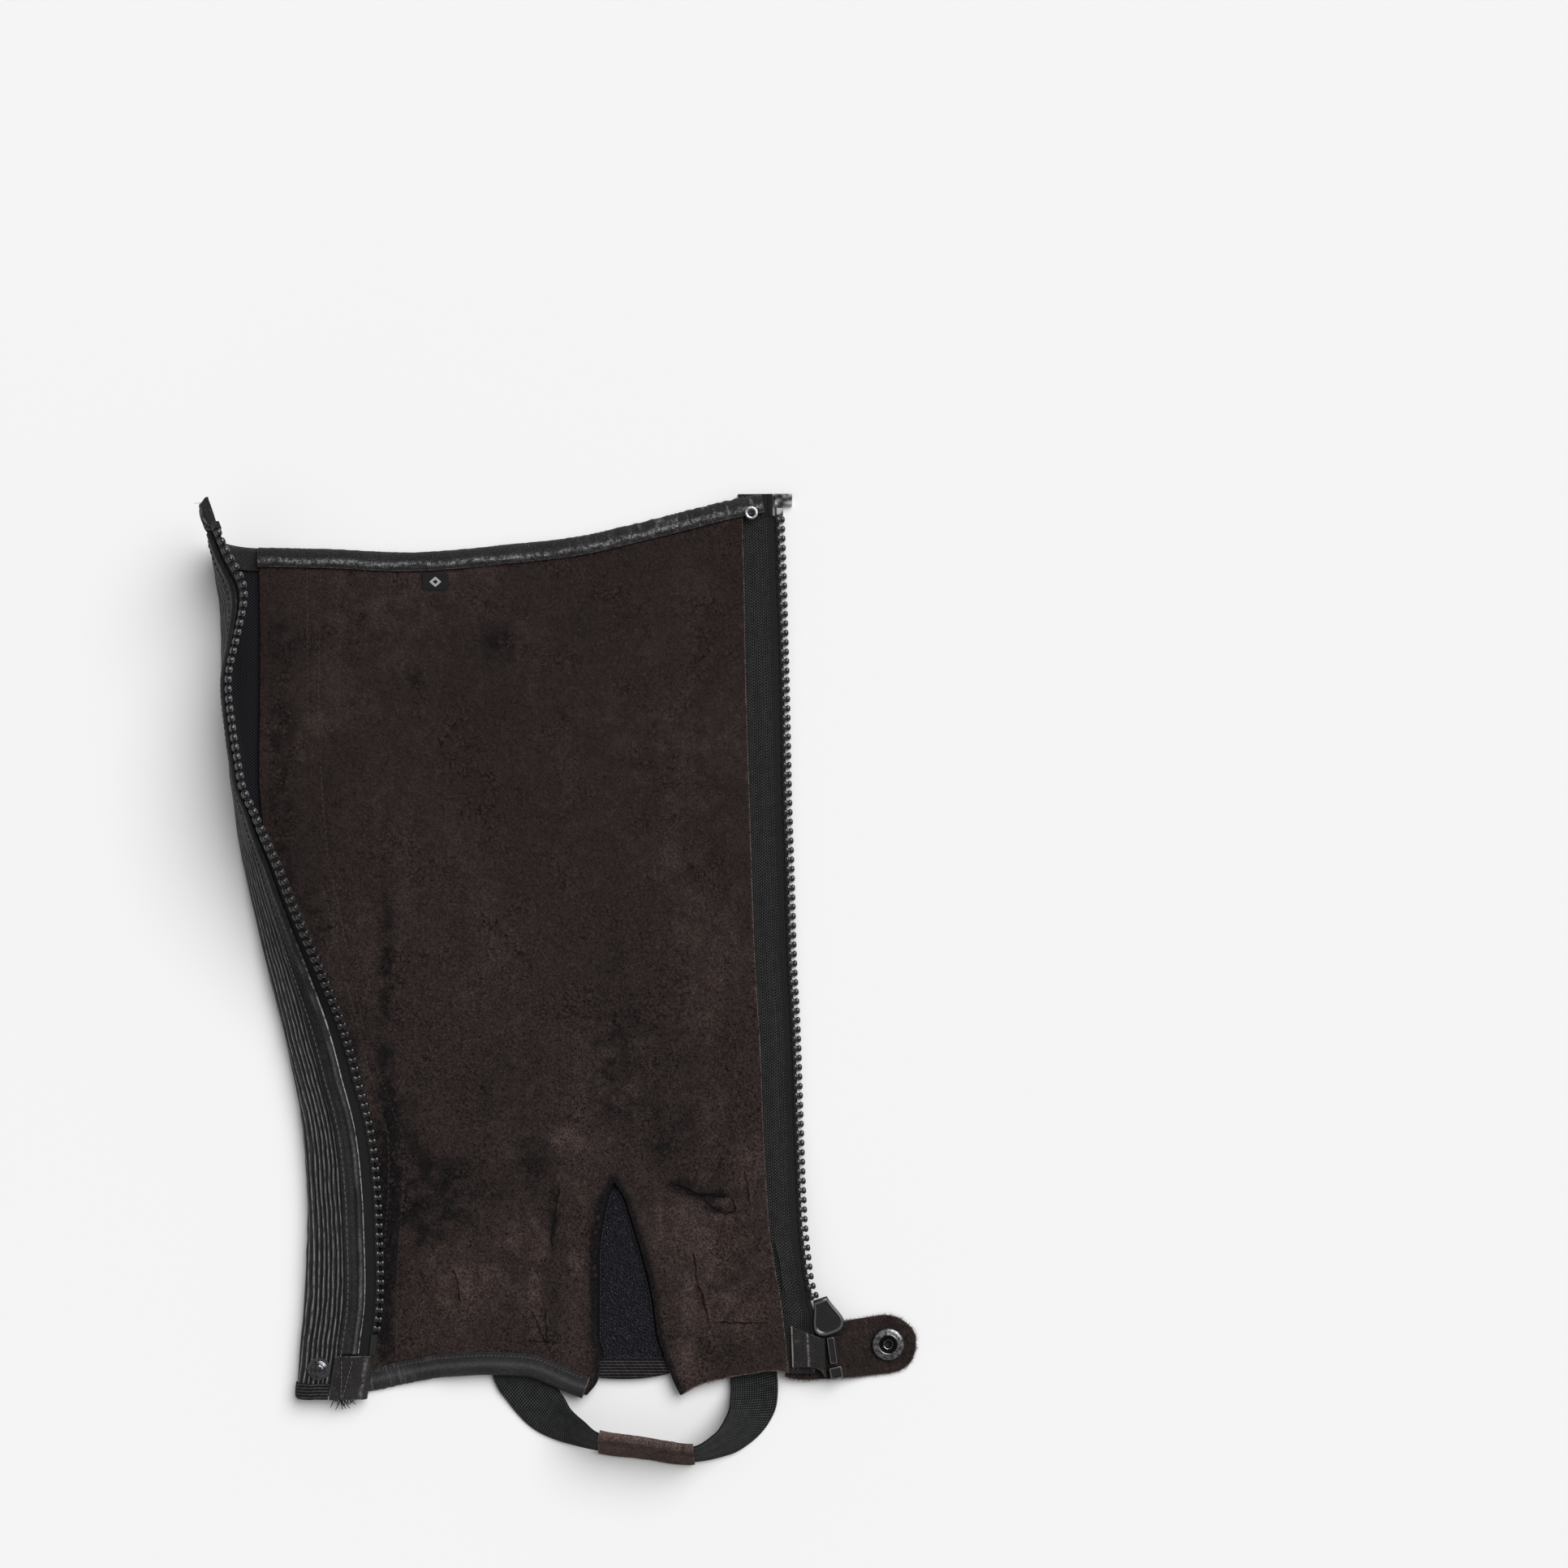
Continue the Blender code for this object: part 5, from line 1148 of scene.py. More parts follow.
def makeZip():
    y = np.linspace(201.6, -172, 400)
    width = flapWidth(y)
    tips = flapPoint(y, width, 0)
    outer = flapPoint(y, width - 2.0, 1.0) - flapPoint(y, width - 2.0, 0)
    makeTeeth("zipTeethLeft", tips, flapPoint(y, width - 4.0, 0) - tips, unit(outer), "zip_teeth_left",
              (0.2, 0.3, 0.8, 0.9))
    y = np.linspace(228.8, -154.4, 400)
    x = edgeX(toothTips, y)
    tips, root = (stacked(at, y, onTape(at, y) + wall["tape"] / 2) for at in (x, x - 4.0))
    makeTeeth("zipTeethRight", tips, root - tips, upAxis, "zip_teeth_right", (0.35, 0.5, 0.04, 0.04))


tapeEnd = sizeTable("y x", (-192, 131), (-174, 130.8), (-166, 128.4), (-158, 125.6), (-150, 123.2))


def makeRightTape():
    # rises from under the suede to the teeth, with a bead by them and puckers near the slider
    y = np.linspace(240, -192, 330)[:, None]
    root = edgeX(toothTips, y) - 2.9
    root = np.where(y < -150, np.minimum(edgeX(tapeEnd, y) + 2.1 * easeStep(-157, -150, y), root), root)
    root = root + (106.5 - root) * easeStep(228.6, 229.4, y)
    edge = edgeX(rightEdge, y)
    hidden = 8 - 6.4 * easeStep(-140, -185, y)
    start = edge - hidden + (hidden - 2) * easeStep(225, 227, y)
    x = np.hstack([start + (edge - start) * np.array([0, 0.5, 0.97]),
                   edge + (root - edge) * np.linspace(0.03, 1, 30)])
    part = (x - edge) / (root - edge)
    fromRoot = root - x
    bead = 0.45 * easeStep(2.7, 1.7, fromRoot)
    pucker = 0.28 * softNoise(x * 1.6, y, 5.5, 51) * easeStep(-100, -150, y) * easeStep(0, 0.2, part)
    pucker = pucker + 0.9 * bell(nearLine(x, y, ((107.6, -128), (110.4, -138), (111.8, -150))), 0.9)
    pucker = pucker * easeStep(0.02, 0.12, part) * easeStep(1, 0.8, part)
    base = onTape(x, y, easeStep(0, 1, part))
    clothPiece("zipTapeRight", stacked(x, y, base - bead * 0.5),
               stacked(x, y, base + wall["tape"] + bead + pucker), [tapeWeave], (fromRoot, y), "zip_tape",
               "zip_tape_right", "laid", ["leg_panel"], masks={"plainWeaveShade": easeStep(6.2, 5.4, fromRoot)},
               sharp=60)


makeZip()
makeRightTape()
print("zip made")


# Bindings: leather rolled over the edge, as a section (distance in, height) along the panel's edge.
roll = sizeTable("into up", (7.8, 2.85), (6.0, 3.05), (3.4, 3.35), (1.3, 3.2), (-0.3, 2.75), (-1.1, 1.9),
                 (-1.25, 1.1), (-1.1, 0.55))


def makeBinding(name, edge, x, inset, sign, widen, size, material, node):
    # the section's length is divided evenly; wrinkles stand along its normal
    section = stacked(roll["into"] * np.where(roll["into"] > 5, widen, 1), roll["up"])
    length = arcLengths(section)
    at = np.r_[0, 0.35, np.linspace(0.8, length[-1] - 0.5, 26), length[-1]]
    section = smoothSection(section, at)
    normal = outwardOf(section)
    y = edgeY(edge, x)
    along = unit(stacked(np.gradient(x), np.gradient(y)))
    inward = stacked(along[:, 1], -along[:, 0])
    path = stacked(x, y) + inward * inset
    inward = inward * sign
    run = arcLengths(path)[:, None]
    x = x[:, None]
    rim = 0.5 - 0.18 * easeStep(0.6, 0, at)
    lower = 0.6 * easeStep(-86, -90, x) * (sign < 0)
    sheets = []
    for out in (-0.5 + 0 * run, rim + size(run, at, x)):
        flatPlace = path[:, None] + inward[:, None] * (section[:, :1] + normal[:, :1] * out[..., None])
        height = (underLeather(flatPlace[..., 0], flatPlace[..., 1])
                  + section[:, 1] + normal[:, 1] * out - lower)
        sheets.append(np.concatenate([flatPlace, height[..., None]], -1))
    cut = easeStep(1.0, 0.5, at) * (0.9 if sign > 0 else 0.25)
    if sign < 0:
        cut = np.maximum(cut, 0.8 * easeStep(length[-1] - 1.6, length[-1] - 0.9, at))
    cut = np.maximum(cut, easeStep(0.8, 0.3, np.minimum(run, run[-1] - run)))
    # painted highlight: on the top binding a band along its grain crest, broken by the cross wrinkles, with
    # patches toward its right end; on the ankle binding a faint band and patches over the folds at its left
    if sign > 0:
        paintedHighlight = bell(at - 3.1 - 0.4 * softNoise(run, 0, 9, 67), 1.0) * 1.3
        cross = np.abs(softNoise(run + 0.6 * softNoise(at * 2, run, 4, 62), at * 0.25, 2.4, 61))
        paintedHighlight = paintedHighlight * (1 - 0.9 * easeStep(0.55, 0.85, cross))
        highlightPatches = easeStep(0.35, 0.8, softNoise(run, at * 0.3, 1.7, 68))
        paintedHighlight = paintedHighlight + 0.8 * easeStep(-10, 70, x) * highlightPatches
    else:
        fold = easeStep(0.35, 0.8, softNoise(run, at * 0.10, 0.8, 70))
        paintedHighlight = 0.15 * bell(at - 5.6, 1.3) + 0.22 * easeStep(-45, -82, x) * fold
    clothPiece(name, sheets[0], sheets[1], [material], (at, run), "black_leather", node, "folded",
               ["leg_panel"], masks={"cutEdge": cut, "paintedHighlight": np.clip(paintedHighlight, 0, 1)}, sharp=60)
    return sheets[1]


def topWrinkles(run, at, x):
    # grain crests near the inner third, and cross wrinkles that deepen toward the eyelet
    far = easeStep(-20, 90, x)
    cross = np.abs(softNoise(run + 0.6 * softNoise(at * 2, run, 4, 62), at * 0.25, 2.4, 61))
    crest = bell(at - 2.9 - 0.4 * softNoise(run, 0, 9, 67), 1.25)
    return (-0.5 * (0.4 + far) * cross * easeStep(0.8, 2.5, at) + 0.6 * crest
            + 0.16 * softNoise(run, at, 1.5, 63) * crest + 0.15 * softNoise(run, at * 0.4, 11, 64))


def ankleWrinkles(run, at, x):
    # fine cross creases at the left, smooth elsewhere
    left = easeStep(-40, -80, x)
    cross = np.abs(softNoise(run, at * 0.15, 1.5, 70))
    return -0.45 * left * cross * easeStep(0.6, 2, at) + 0.12 * softNoise(run, at * 0.4, 14, 66)


makeBinding("topBinding", topEdge, np.linspace(-146.5, 100.6, 340), 2.2, 1, 1.0, topWrinkles, bindingLeather,
            "top_binding")
ankleSheet = makeBinding("ankleBinding", bottomLeft, np.linspace(-94.5, 13.6, 138), 0.45, -1, 1.25,
                         ankleWrinkles, ankleLeather, "ankle_binding")
print("bindings made")


# Stretch gusset under the slit, and its hem band.
def makeGusset():
    # wedge: swells a little between the slit's edges
    y = np.linspace(-88, -185.2, 66)[:, None]
    left, right = (slitX(side, np.minimum(y, apex[1])) for side in ("left", "right"))
    share = np.linspace(0, 1, 34)
    x = left - 7 + (right - left + 14) * share
    swell = 0.35 * np.sin(np.pi * share) * easeStep(-100, -150, y)
    relief = (swell + 0.12 * softNoise(x, y, 9, 75)) * easeStep(-185, -176, y)
    base = groundLift(x, y) + 0.15
    # painted shade on the knit along the slit's edges, under the leather
    clothPiece("stretchGusset", stacked(x, y, base), stacked(x, y, base + 1.2 + relief), [gussetKnit], (x, y),
               "blue_black_knit", "gusset", "stretched", ["leg_panel"],
               masks={"slitShade": easeStep(3.5, 0.5, np.minimum(x - left, right - x))})
    # hem: four ribs down its height, between a straight upper and a curved lower edge
    x = np.linspace(13.5, 60, 60)
    lowEdge = -195.4 + 3.0 * np.abs((x - 13.5) / 46.5 * 2 - 0.85) ** 2.2
    down = np.r_[0, 0.03, np.linspace(0.08, 0.94, 14), 0.98, 1.0][:, None]
    y = -185.6 + (lowEdge + 185.6) * down
    ribs = 0.22 * np.abs(np.sin(down * 4 * np.pi)) + 0.05 * softNoise(x, y * 3, 2.4, 76)
    rounded = 0.5 * easeStep(0.08, 0, down) + 0.6 * easeStep(0.1, 0, 1 - down)
    base = groundLift(x, y) + lie["clear"]
    clothPiece("gussetHem", stacked(x, y, base), stacked(x, y, base + 1.55 + ribs - rounded * 0.5), [hemKnit],
               (y, x), "blue_black_knit", "gusset_hem", "laid", ["gusset"])


makeGusset()

# Strap under the foot: its two edges, flat at the sewn ends and on edge in the middle.
strapTable = sizeTable(
    "along outerX outerY outerZ innerX innerY innerZ",
    (0, -31.0, -182.0, 2.3, -8.0, -175.5, 2.3), (9, -31.7, -191.8, 2.8, -8.9, -184.4, 3.1),
    (18, -29.0, -199.9, 2.2, -7.0, -190.2, 3.5), (26, -24.3, -206.5, 1.5, -3.0, -195.7, 3.3),
    (35, -18.3, -213.4, 1.0, 1.6, -202.2, 3.9), (48, -8.3, -221.8, 0.9, 7.3, -209.0, 12.0),
    (63, 5.7, -227.4, 1.3, 14.0, -213.1, 18.7), (79, 20.9, -230.3, 2.7, 22.1, -218.5, 23.4),
    (101, 43.3, -233.1, 2.7, 44.2, -221.8, 23.8), (123, 65.7, -235.9, 2.7, 66.3, -225.1, 24.0),
    (144, 85.6, -232.6, 1.3, 78.0, -219.6, 19.9), (156, 95.6, -226.6, 0.9, 83.1, -213.8, 15.5),
    (168, 103.6, -217.2, 0.9, 86.2, -207.5, 10.5), (177, 107.6, -208.1, 1.7, 86.6, -201.0, 5.2),
    (187, 108.6, -198.0, 3.4, 85.8, -194.4, 3.7), (200, 107.0, -184.0, 4.4, 84.0, -181.0, 3.7))
webbingWidth = 24.0


def strapFrame(along):
    # middle line, direction across toward the inner edge, and direction out of the strap's face
    edges = np.stack(list(readRow(strapTable, along).values()), -1)
    outer, inner = edges[:, 1:4], edges[:, 4:]
    middle, side = (outer + inner) / 2, unit(inner - outer)
    return middle, side, unit(np.cross(np.gradient(middle, axis=0), side))


def strapGrid(along, side, up):
    # points at distances across and out from the strap's middle surface
    middle, sideways, out = (part[:, None] for part in strapFrame(along))
    side, up = np.broadcast_arrays(side, up)
    return middle + sideways * side[..., None] + out * up[..., None]


def makeStrap():
    half, thick = webbingWidth / 2, wall["webbing"] / 2
    along = np.linspace(0, 200, 220)
    side = np.r_[-half, -half + 0.35, np.linspace(-half + 0.8, half - 0.8, 41), half - 0.35, half]
    cords = 0.12 * np.abs(np.sin(side / 1.2 * np.pi)) + 0.1 * bell(np.abs(side) - half + 0.9, 0.5)
    out = thick + cords - 0.3 * easeStep(0.8, 0, half - np.abs(side))
    low, high = strapGrid(along, side[None, :], -out), strapGrid(along, side[None, :], out)
    low[..., 2] = np.maximum(low[..., 2], 0.05)
    high[..., 2] = np.maximum(high[..., 2], 0.05 + wall["webbing"] * 0.3)
    clothPiece("stirrupStrap", low, high, [strapWebbing], (side, along[:, None]), "webbing", "stirrup_strap",
               "laid", ["leg_panel"], sharp=70)

    # sleeve: a superellipse section, a suede strip wrapped round, its raw end lapped along the upper edge
    along = np.linspace(79.2, 125.4, 72)[:, None]
    power = 2 / 0.42
    wide = np.array([1, 0.9995, 0.996, 0.985, 0.965, 0.94, 0.9])
    wide = np.r_[wide, np.linspace(0.86, -0.86, 30), -wide[:0:-1]]
    upper = np.repeat([1, -1], len(wide))
    wide = np.r_[wide, -wide]
    tall = upper * np.maximum(1 - np.abs(wide) ** power, 0) ** (1 / power)
    acrossAt = wide * (half + 1.65)
    around = arcLengths(stacked(acrossAt, tall * (thick + 1.75)))
    rough = 0.22 * softNoise(along, around, 4.2, 77) + 0.14 * softNoise(along, around, 1.6, 78)
    skin = rough + 0.9 * easeStep(6.2, 6.6, acrossAt) * (tall > 0.3)
    sheets = [strapGrid(along[:, 0], wide * (half + grow), tall * (thick + rise) + lift * tall)
              for grow, rise, lift in ((0.35, 0.35, 0 * rough), (1.65, 1.75, skin))]
    ends = np.minimum(along - along[0], along[-1] - along)
    lapEdge = 1.2 * bell(acrossAt - 6.4, 0.8) * (tall > 0.3)
    made = closedWall("strapSleeve", sheets[0], sheets[1], [sleeveSuede, backLeather], (around, along),
                      "brown_suede", "strap_sleeve", underSlot=1,
                      faces=gridFaces(len(along), len(around), loopColumns=True),
                      masks={"cutEdge": np.maximum(easeStep(0.7, 0.2, ends), lapEdge), "warm": 0.5,
                             "stainAndShade": 0.35 * (acrossAt > 6.6) * (tall > 0)})


makeStrap()

# Snap tab: an outline by its lower and upper edges, rising toward the leg.
tabTable = sizeTable(
    "x low high base", (112.5, -194.2, -178.5, 3.3), (120, -195.6, -174.6, 3.3),
    (128, -195.4, -170.6, 3.3), (136, -195.0, -167.8, 3.3), (143, -194.7, -166.6, 3.0),
    (150, -194.3, -165.9, 1.2), (155, -193.8, -165.2, 0.4), (161, -193.2, -164.4, 0.3),
    (167, -192.2, -165.2, 0.3), (171, -190.4, -167.4, 0.3), (174.5, -187.0, -170.4, 0.3),
    (177, -180.8, -175.0, 0.3))


def makeSnapTab():
    x = np.r_[np.linspace(112.5, 174, 78), np.linspace(174.6, 177, 7)][:, None]
    _, low, high, base = readRow(tabTable, x).values()
    y = low + (high - low) * spacedShares(28, 0.9, (0.4, 1.0))
    toEdge = np.minimum(np.minimum(y - low, high - y), 177 - x)
    relief = (0.12 * softNoise(x, y, 6, 81) + 0.06 * softNoise(x, y, 2, 82)) * easeStep(0, 2, toEdge)
    dish = 0.35 * easeStep(11, 8.2, np.hypot(x - 163.2, y + 178.4))
    top = base + wall["tab"] + relief - dish - 0.35 * easeStep(1.1, 0, toEdge)
    clothPiece("snapTab", stacked(x, y, base), stacked(x, y, top), [tabSuede, backLeather], (x, y),
               "brown_suede", "snap_tab", "laid", ["zip_tape_right"], underSlot=1,
               masks={"cutEdge": 0.75 * easeStep(1.1, 0.3, toEdge), "warm": 0.1, "stainAndShade": 0.25})


makeSnapTab()


# Bands and caps that close the ends of the elastic side and of the tapes.
folds = sizeTable("out high", (16.8, 0.9), (15.2, 1.0), (13.5, 1.6), (12.0, 3.4), (10.9, 2.0), (10.2, 2.3),
                  (8.6, 4.2), (7.4, 2.2), (6.8, 2.8), (5.2, 4.3), (4.0, 2.6), (3.2, 2.9), (1.4, 0.8))
leftCap = sizeTable(
    "share out low high shift", (0, 21.0, 1.5, 2.5, 0), (0.25, 16.0, 1.5, 2.7, 0), (0.5, 11.0, 1.3, 2.6, 0),
    (0.72, 6.4, 1.2, 2.3, 0), (0.84, 4.3, 0.7, 1.5, 0.6), (0.92, 3.6, -0.3, -0.3, 1.2),
    (1, 4.3, -1.2, -2.2, 0.8))
rightCap = sizeTable(
    "share x top bottom mid side up", (0, 115.4, -168.6, -188.6, 8.55, 0, 0.5),
    (0.16, 118.2, -169.8, -188.6, 8.8, 0, 0.5), (0.5, 124.2, -172.2, -188.4, 9.35, 0, 0.5),
    (0.74, 128.6, -173.8, -189.8, 9.25, 0, 0.5), (0.84, 130.4, -174.4, -191.6, 9.0, 0.2, 0.45),
    (0.91, 131.4, -174.6, -193.4, 8.4, 0.42, 0.2), (0.95, 131.6, -174.6, -193.6, 7.2, 0.5, 0.0),
    (1, 131.2, -174.6, -193.6, 6.0, 0.45, -0.2))


def makeStretchHem():
    # a ribbed band round the lower end of the elastic
    section = np.array([(-196.6, 1.75), (-200.0, 1.9), (-202.8, 1.8), (-204.2, 0.9), (-204.4, 0.0)])
    length = arcLengths(section)[-1]
    at = np.linspace(0, length, 26)
    section = smoothSection(section, at)
    normal = -outwardOf(section)
    ribs = 0.20 * np.abs(np.sin(at / length * 4.5 * np.pi))
    share = np.linspace(0.12, 1, 70)
    sheets = []
    for out in (-0.45 + 0 * ribs, 0.45 + ribs):
        place = section + normal * out[:, None]
        y = place[:, :1] + 0.15 * softNoise(share * 40, 0, 6, 83)
        start = smoothCurve(flapTable["y"], flapTable["run"], y)
        across = start + (flapWidth(y) - 21.8 - start) * share
        sheet = flapPoint(np.maximum(y, -203), across, place[:, 1:])
        sheet[..., 1] = y
        sheets.append(sheet)
    clothPiece("stretchHem", *sheets, [hemKnit], (at[:, None], across), "black_elastic", "stretch_hem",
               "folded", ["stretch_panel"], sharp=60)


def makeTopBand():
    # smooth leather over the upper end of the elastic
    section = np.array([(202.0, -1.45), (207.0, -1.55), (211.4, -1.6), (212.6, -0.9), (212.9, 0.2)])
    at = np.r_[0, 0.4, np.linspace(0.9, arcLengths(section)[-1], 22)]
    section = smoothSection(section, at)
    normal = outwardOf(section)
    at = at[:, None]
    sheets = []
    for out in (-0.45, 0.45):
        place = section + normal * out
        across = 0.3 + (flapWidth(place[:, :1]) - 17.8) * np.linspace(0, 1, 80)
        swell = 0.12 * softNoise(across, at * 0.6, 5, 84) * (out > 0)
        sheets.append(flapPoint(place[:, :1], across, place[:, 1:] + normal[:, 1:] * swell))
    clothPiece("stretchTopBand", *sheets, [ankleLeather], (at, across), "black_leather", "stretch_top_band",
               "folded", ["stretch_panel"], masks={"cutEdge": 0.3 * easeStep(0.9, 0.4, at)}, sharp=60)


def makeTapeFold():
    # upper tape end: pleats side by side that thin toward the tip
    y = np.linspace(205.1, 214.4, 34)[:, None]
    out = np.linspace(16.8, 1.4, 70)
    slim = smoothCurve([205.1, 207.5, 210, 212.5, 214.4], [0.75, 0.95, 1.0, 0.9, 0.55], y)
    pleat = smoothCurve(folds["out"], folds["high"], out + 0.5 * softNoise(y, 0, 4, 85))
    fine = 0.15 * softNoise(out * 2, y, 2.4, 86)
    across = flapWidth(y) - out
    high = flapPoint(y, across, (pleat + fine) * slim)
    # painted highlight on the tops of the pleats
    clothPiece("tapeEndFoldLeft", flapPoint(y, across, -0.9 * slim), high, [capLeather], (out, y),
               "black_leather", "tape_end_fold_left", "folded", ["zip_tape_left"], grid=high, sharp=60,
               masks={"cutEdge": 0.5 * easeStep(213.6, 214.2, y), "paintedHighlight": 0.75 * easeStep(2.6, 3.9, pleat)})


def makeLeftCap():
    # lower left cap: a section turned round the free edge, with a fold ridge
    low, high = -204.6, -183.4
    y = np.linspace(low, high, 48)[:, None]
    share = np.r_[0, 0.015, np.linspace(0.04, 1, 56)]
    row = readRow(leftCap, share)
    out = row["out"]
    wrinkle = (0.18 * softNoise(out * 1.4, y, 4.2, 87) + 0.14 * np.abs(softNoise(out * 2, y, 2.1, 88))
               + 0.7 * bell(out - 5.2, 0.8)) * easeStep(0, 0.05, share) * (share < 0.9)
    across = flapWidth(y) - out
    # painted highlight along the fold ridge, with faint specks
    paintedHighlight = 0.63 * bell(out - 6.0, 0.8) + 0.12 * easeStep(0.4, 0.9, softNoise(out, y, 1.5, 92))
    cut = np.maximum(easeStep(0.7, 0.2, np.minimum(y - low, high - y)), easeStep(0.02, 0.006, share))
    clothPiece("tapeEndCoverLeft", flapPoint(y, across, row["low"]),
               flapPoint(y, across + row["shift"], row["high"] + wrinkle), [capLeather], (out, y),
               "black_leather", "tape_end_cover_left", "folded", ["zip_tape_left"], sharp=60,
               masks={"paintedHighlight": paintedHighlight, "cutEdge": 0.7 * cut})


def makeRightCap():
    # lower right cap: a folded strip over the tape's end, open below
    down = np.linspace(0, 1, 44)[:, None]
    share = np.r_[0, 0.012, np.linspace(0.03, 1, 60)]
    row = readRow(rightCap, share)
    x, ridge = row["x"], row["x"] - 123.4
    y = row["top"] + (row["bottom"] - row["top"]) * down
    wrinkle = (0.45 * bell(ridge, 0.7) + 0.14 * softNoise(x * 1.5, y, 4, 89)
               + 0.1 * softNoise(x * 3, y, 1.9, 90))
    wrinkle = wrinkle * easeStep(0, 0.04, share) * easeStep(0, 0.05, down) * easeStep(1, 0.94, down)
    sheets = [stacked(x + sign * row["side"] + 0.7 * down, y,
                      row["mid"] + sign * row["up"] + lift * (share < 0.9))
              for sign, lift in ((-1, 0), (1, wrinkle))]
    # painted highlight along the ridge, with faint specks
    paintedHighlight = 0.9 * bell(ridge, 0.5) + 0.12 * easeStep(0.4, 0.9, softNoise(x, y, 1.5, 93))
    cut = np.maximum(1.4 * easeStep(0.06, 0.02, share),
                     0.6 * easeStep(0.8, 0.2, np.minimum(down, 1 - down) * 18))
    clothPiece("tapeEndCoverRight", *sheets, [capLeather], (x, y), "black_leather", "tape_end_cover_right",
               "folded", ["zip_tape_right"], masks={"paintedHighlight": paintedHighlight, "cutEdge": cut}, sharp=60)


makeStretchHem()
makeTopBand()
makeTapeFold()
makeLeftCap()
makeRightCap()
print("gusset, strap, tab and end pieces made")


# Hard parts that keep the CAD's own form get a finish, and the finer ones stand for their node.
def finishNodes():
    finishes = {
        "zip_pin": toothPlastic, "zip_top_stop_left": capLeather, "zip_top_stop_right": paintedReflectionMetal,
        "zip_top_clamp_right": paintedReflectionMetal, "zip_pull": sliderMetal, "stud_washer": clearPlastic}
    for name, material in finishes.items():
        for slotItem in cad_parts[name].material_slots:
            slotItem.material = material


def ringSolid(rings, poles):
    # points and faces of a stack of rings, closed at either end by a fan to its pole
    return np.concatenate([np.reshape(rings, (-1, 3)), poles]), loftFaces(len(rings), len(rings[0]))


def newTurned(name, profile, sides, material, at, node, tilt=0.0, solid=False, masks=None):
    # a section of (radius, height) turned about the vertical: a ring, or a solid with poles
    angle = np.arange(sides) * 2 * np.pi / sides
    radius, height = np.array(profile).T[..., None]
    points = stacked(radius * np.cos(angle), radius * np.sin(angle), height)
    blocks = [gridFaces(len(profile), sides, loopRows=True, loopColumns=True)]
    if solid:
        points, blocks = ringSolid(points, [(0, 0, height[0, 0]), (0, 0, height[-1, 0])])
    c, s = math.cos(tilt), math.sin(tilt)
    turned = points @ np.array([[c, 0, -s], [0, 1, 0], [s, 0, c]])
    newPiece(name, turned + np.array(at), blocks, [material], node, masks=masks, sharp=38)


snap = {
    "socketAt": (163.2, -178.4, 2.2), "eyeletAt": (96.0, 230.4, 5.9),
    "socket": ((7.95, 0), (8.0, 0.5), (7.85, 0.95), (7.5, 1.35), (6.9, 1.62), (6.0, 1.75), (5.2, 1.85),
               (4.75, 1.95), (4.45, 1.8), (4.35, 1.3), (4.3, 0.45), (3.6, 0.35), (2.75, 0.4), (2.6, 1.15),
               (2.35, 1.4), (2.05, 1.3), (1.9, 0.8), (1.85, 0)),
    "eyelet": ((3.2, 0), (3.28, 0.35), (3.15, 0.7), (2.8, 0.98), (2.4, 1.02), (2.0, 0.85), (1.72, 0.5),
               (1.6, 0.2), (1.6, 0)),
    "stud": ((3.9, 0.9), (4.1, 1.0), (4.1, 1.2), (3.6, 1.4), (2.8, 1.6), (2.45, 1.9), (2.4, 2.2), (2.7, 2.5),
             (2.95, 2.85), (2.95, 3.15), (2.75, 3.45), (2.3, 3.7), (1.6, 3.86), (0.7, 3.93)),
}


def makeSnap():
    radius = np.repeat([ring[0] for ring in snap["socket"]], 64)
    # painted shade in the socket's sunken ring and its middle hole
    recessShade = easeStep(4.6, 4.3, radius) * easeStep(2.5, 2.7, radius) + easeStep(2.0, 1.9, radius)
    newTurned("snapSocket", snap["socket"], 64, darkNickel, snap["socketAt"], "snap_socket",
              masks={"recessShade": recessShade})
    newTurned("topEyelet", snap["eyelet"], 48, brightNickel, snap["eyeletAt"], "top_eyelet")
    y, out = -189.4, wall["elastic"] / 2 + wall["rib"] + 0.4
    at, ahead = (flapPoint(y, flapWidth(y) - fromTeeth, out) for fromTeeth in (28, 25))
    newTurned("snapStud", snap["stud"], 48, studMetal, at, "snap_stud",
              math.atan2(at[2] - ahead[2], ahead[0] - at[0]), solid=True)


slider = {
    "at": (132.6, -163.9), "turn": math.radians(19), "points": 26,
    # height over the surface and inset from the outline, from the shield's foot to its middle
    "shield": ((8.9, 0.5), (9.05, 0.15), (9.3, 0.0), (9.7, 0.05), (10.0, 0.3), (10.22, 0.75), (10.25, 1.1),
               (10.1, 1.45), (9.75, 1.75), (9.7, 2.2), (9.9, 3.6), (10.05, 5.2), (10.1, 6.8)),
    "bail": sizeTable("along up thick", (-2.25, 5.5, 0.62), (-2.25, 2.4, 0.62), (-2.1, 1.75, 0.6),
                      (-1.7, 1.3, 0.55), (-1.1, 1.08, 0.46), (1.0, 1.02, 0.42), (3.1, 1.08, 0.46),
                      (3.7, 1.3, 0.55), (4.1, 1.75, 0.6), (4.25, 2.4, 0.62), (4.25, 5.5, 0.62)),
    "plate": ((5.2, 0.5), (5.35, 0.1), (5.6, 0.0), (6.1, 0.0), (6.3, 0.3), (6.3, 3.0), (6.3, 6.8)),
}
sliderOutline = sizeTable(
    "along half", (9.0, 3.5), (6.5, 4.1), (3.5, 5.2), (0.5, 6.4), (-2.5, 7.4), (-5.0, 7.7), (-7.2, 6.6),
    (-8.6, 4.4), (-9.0, 2.2))


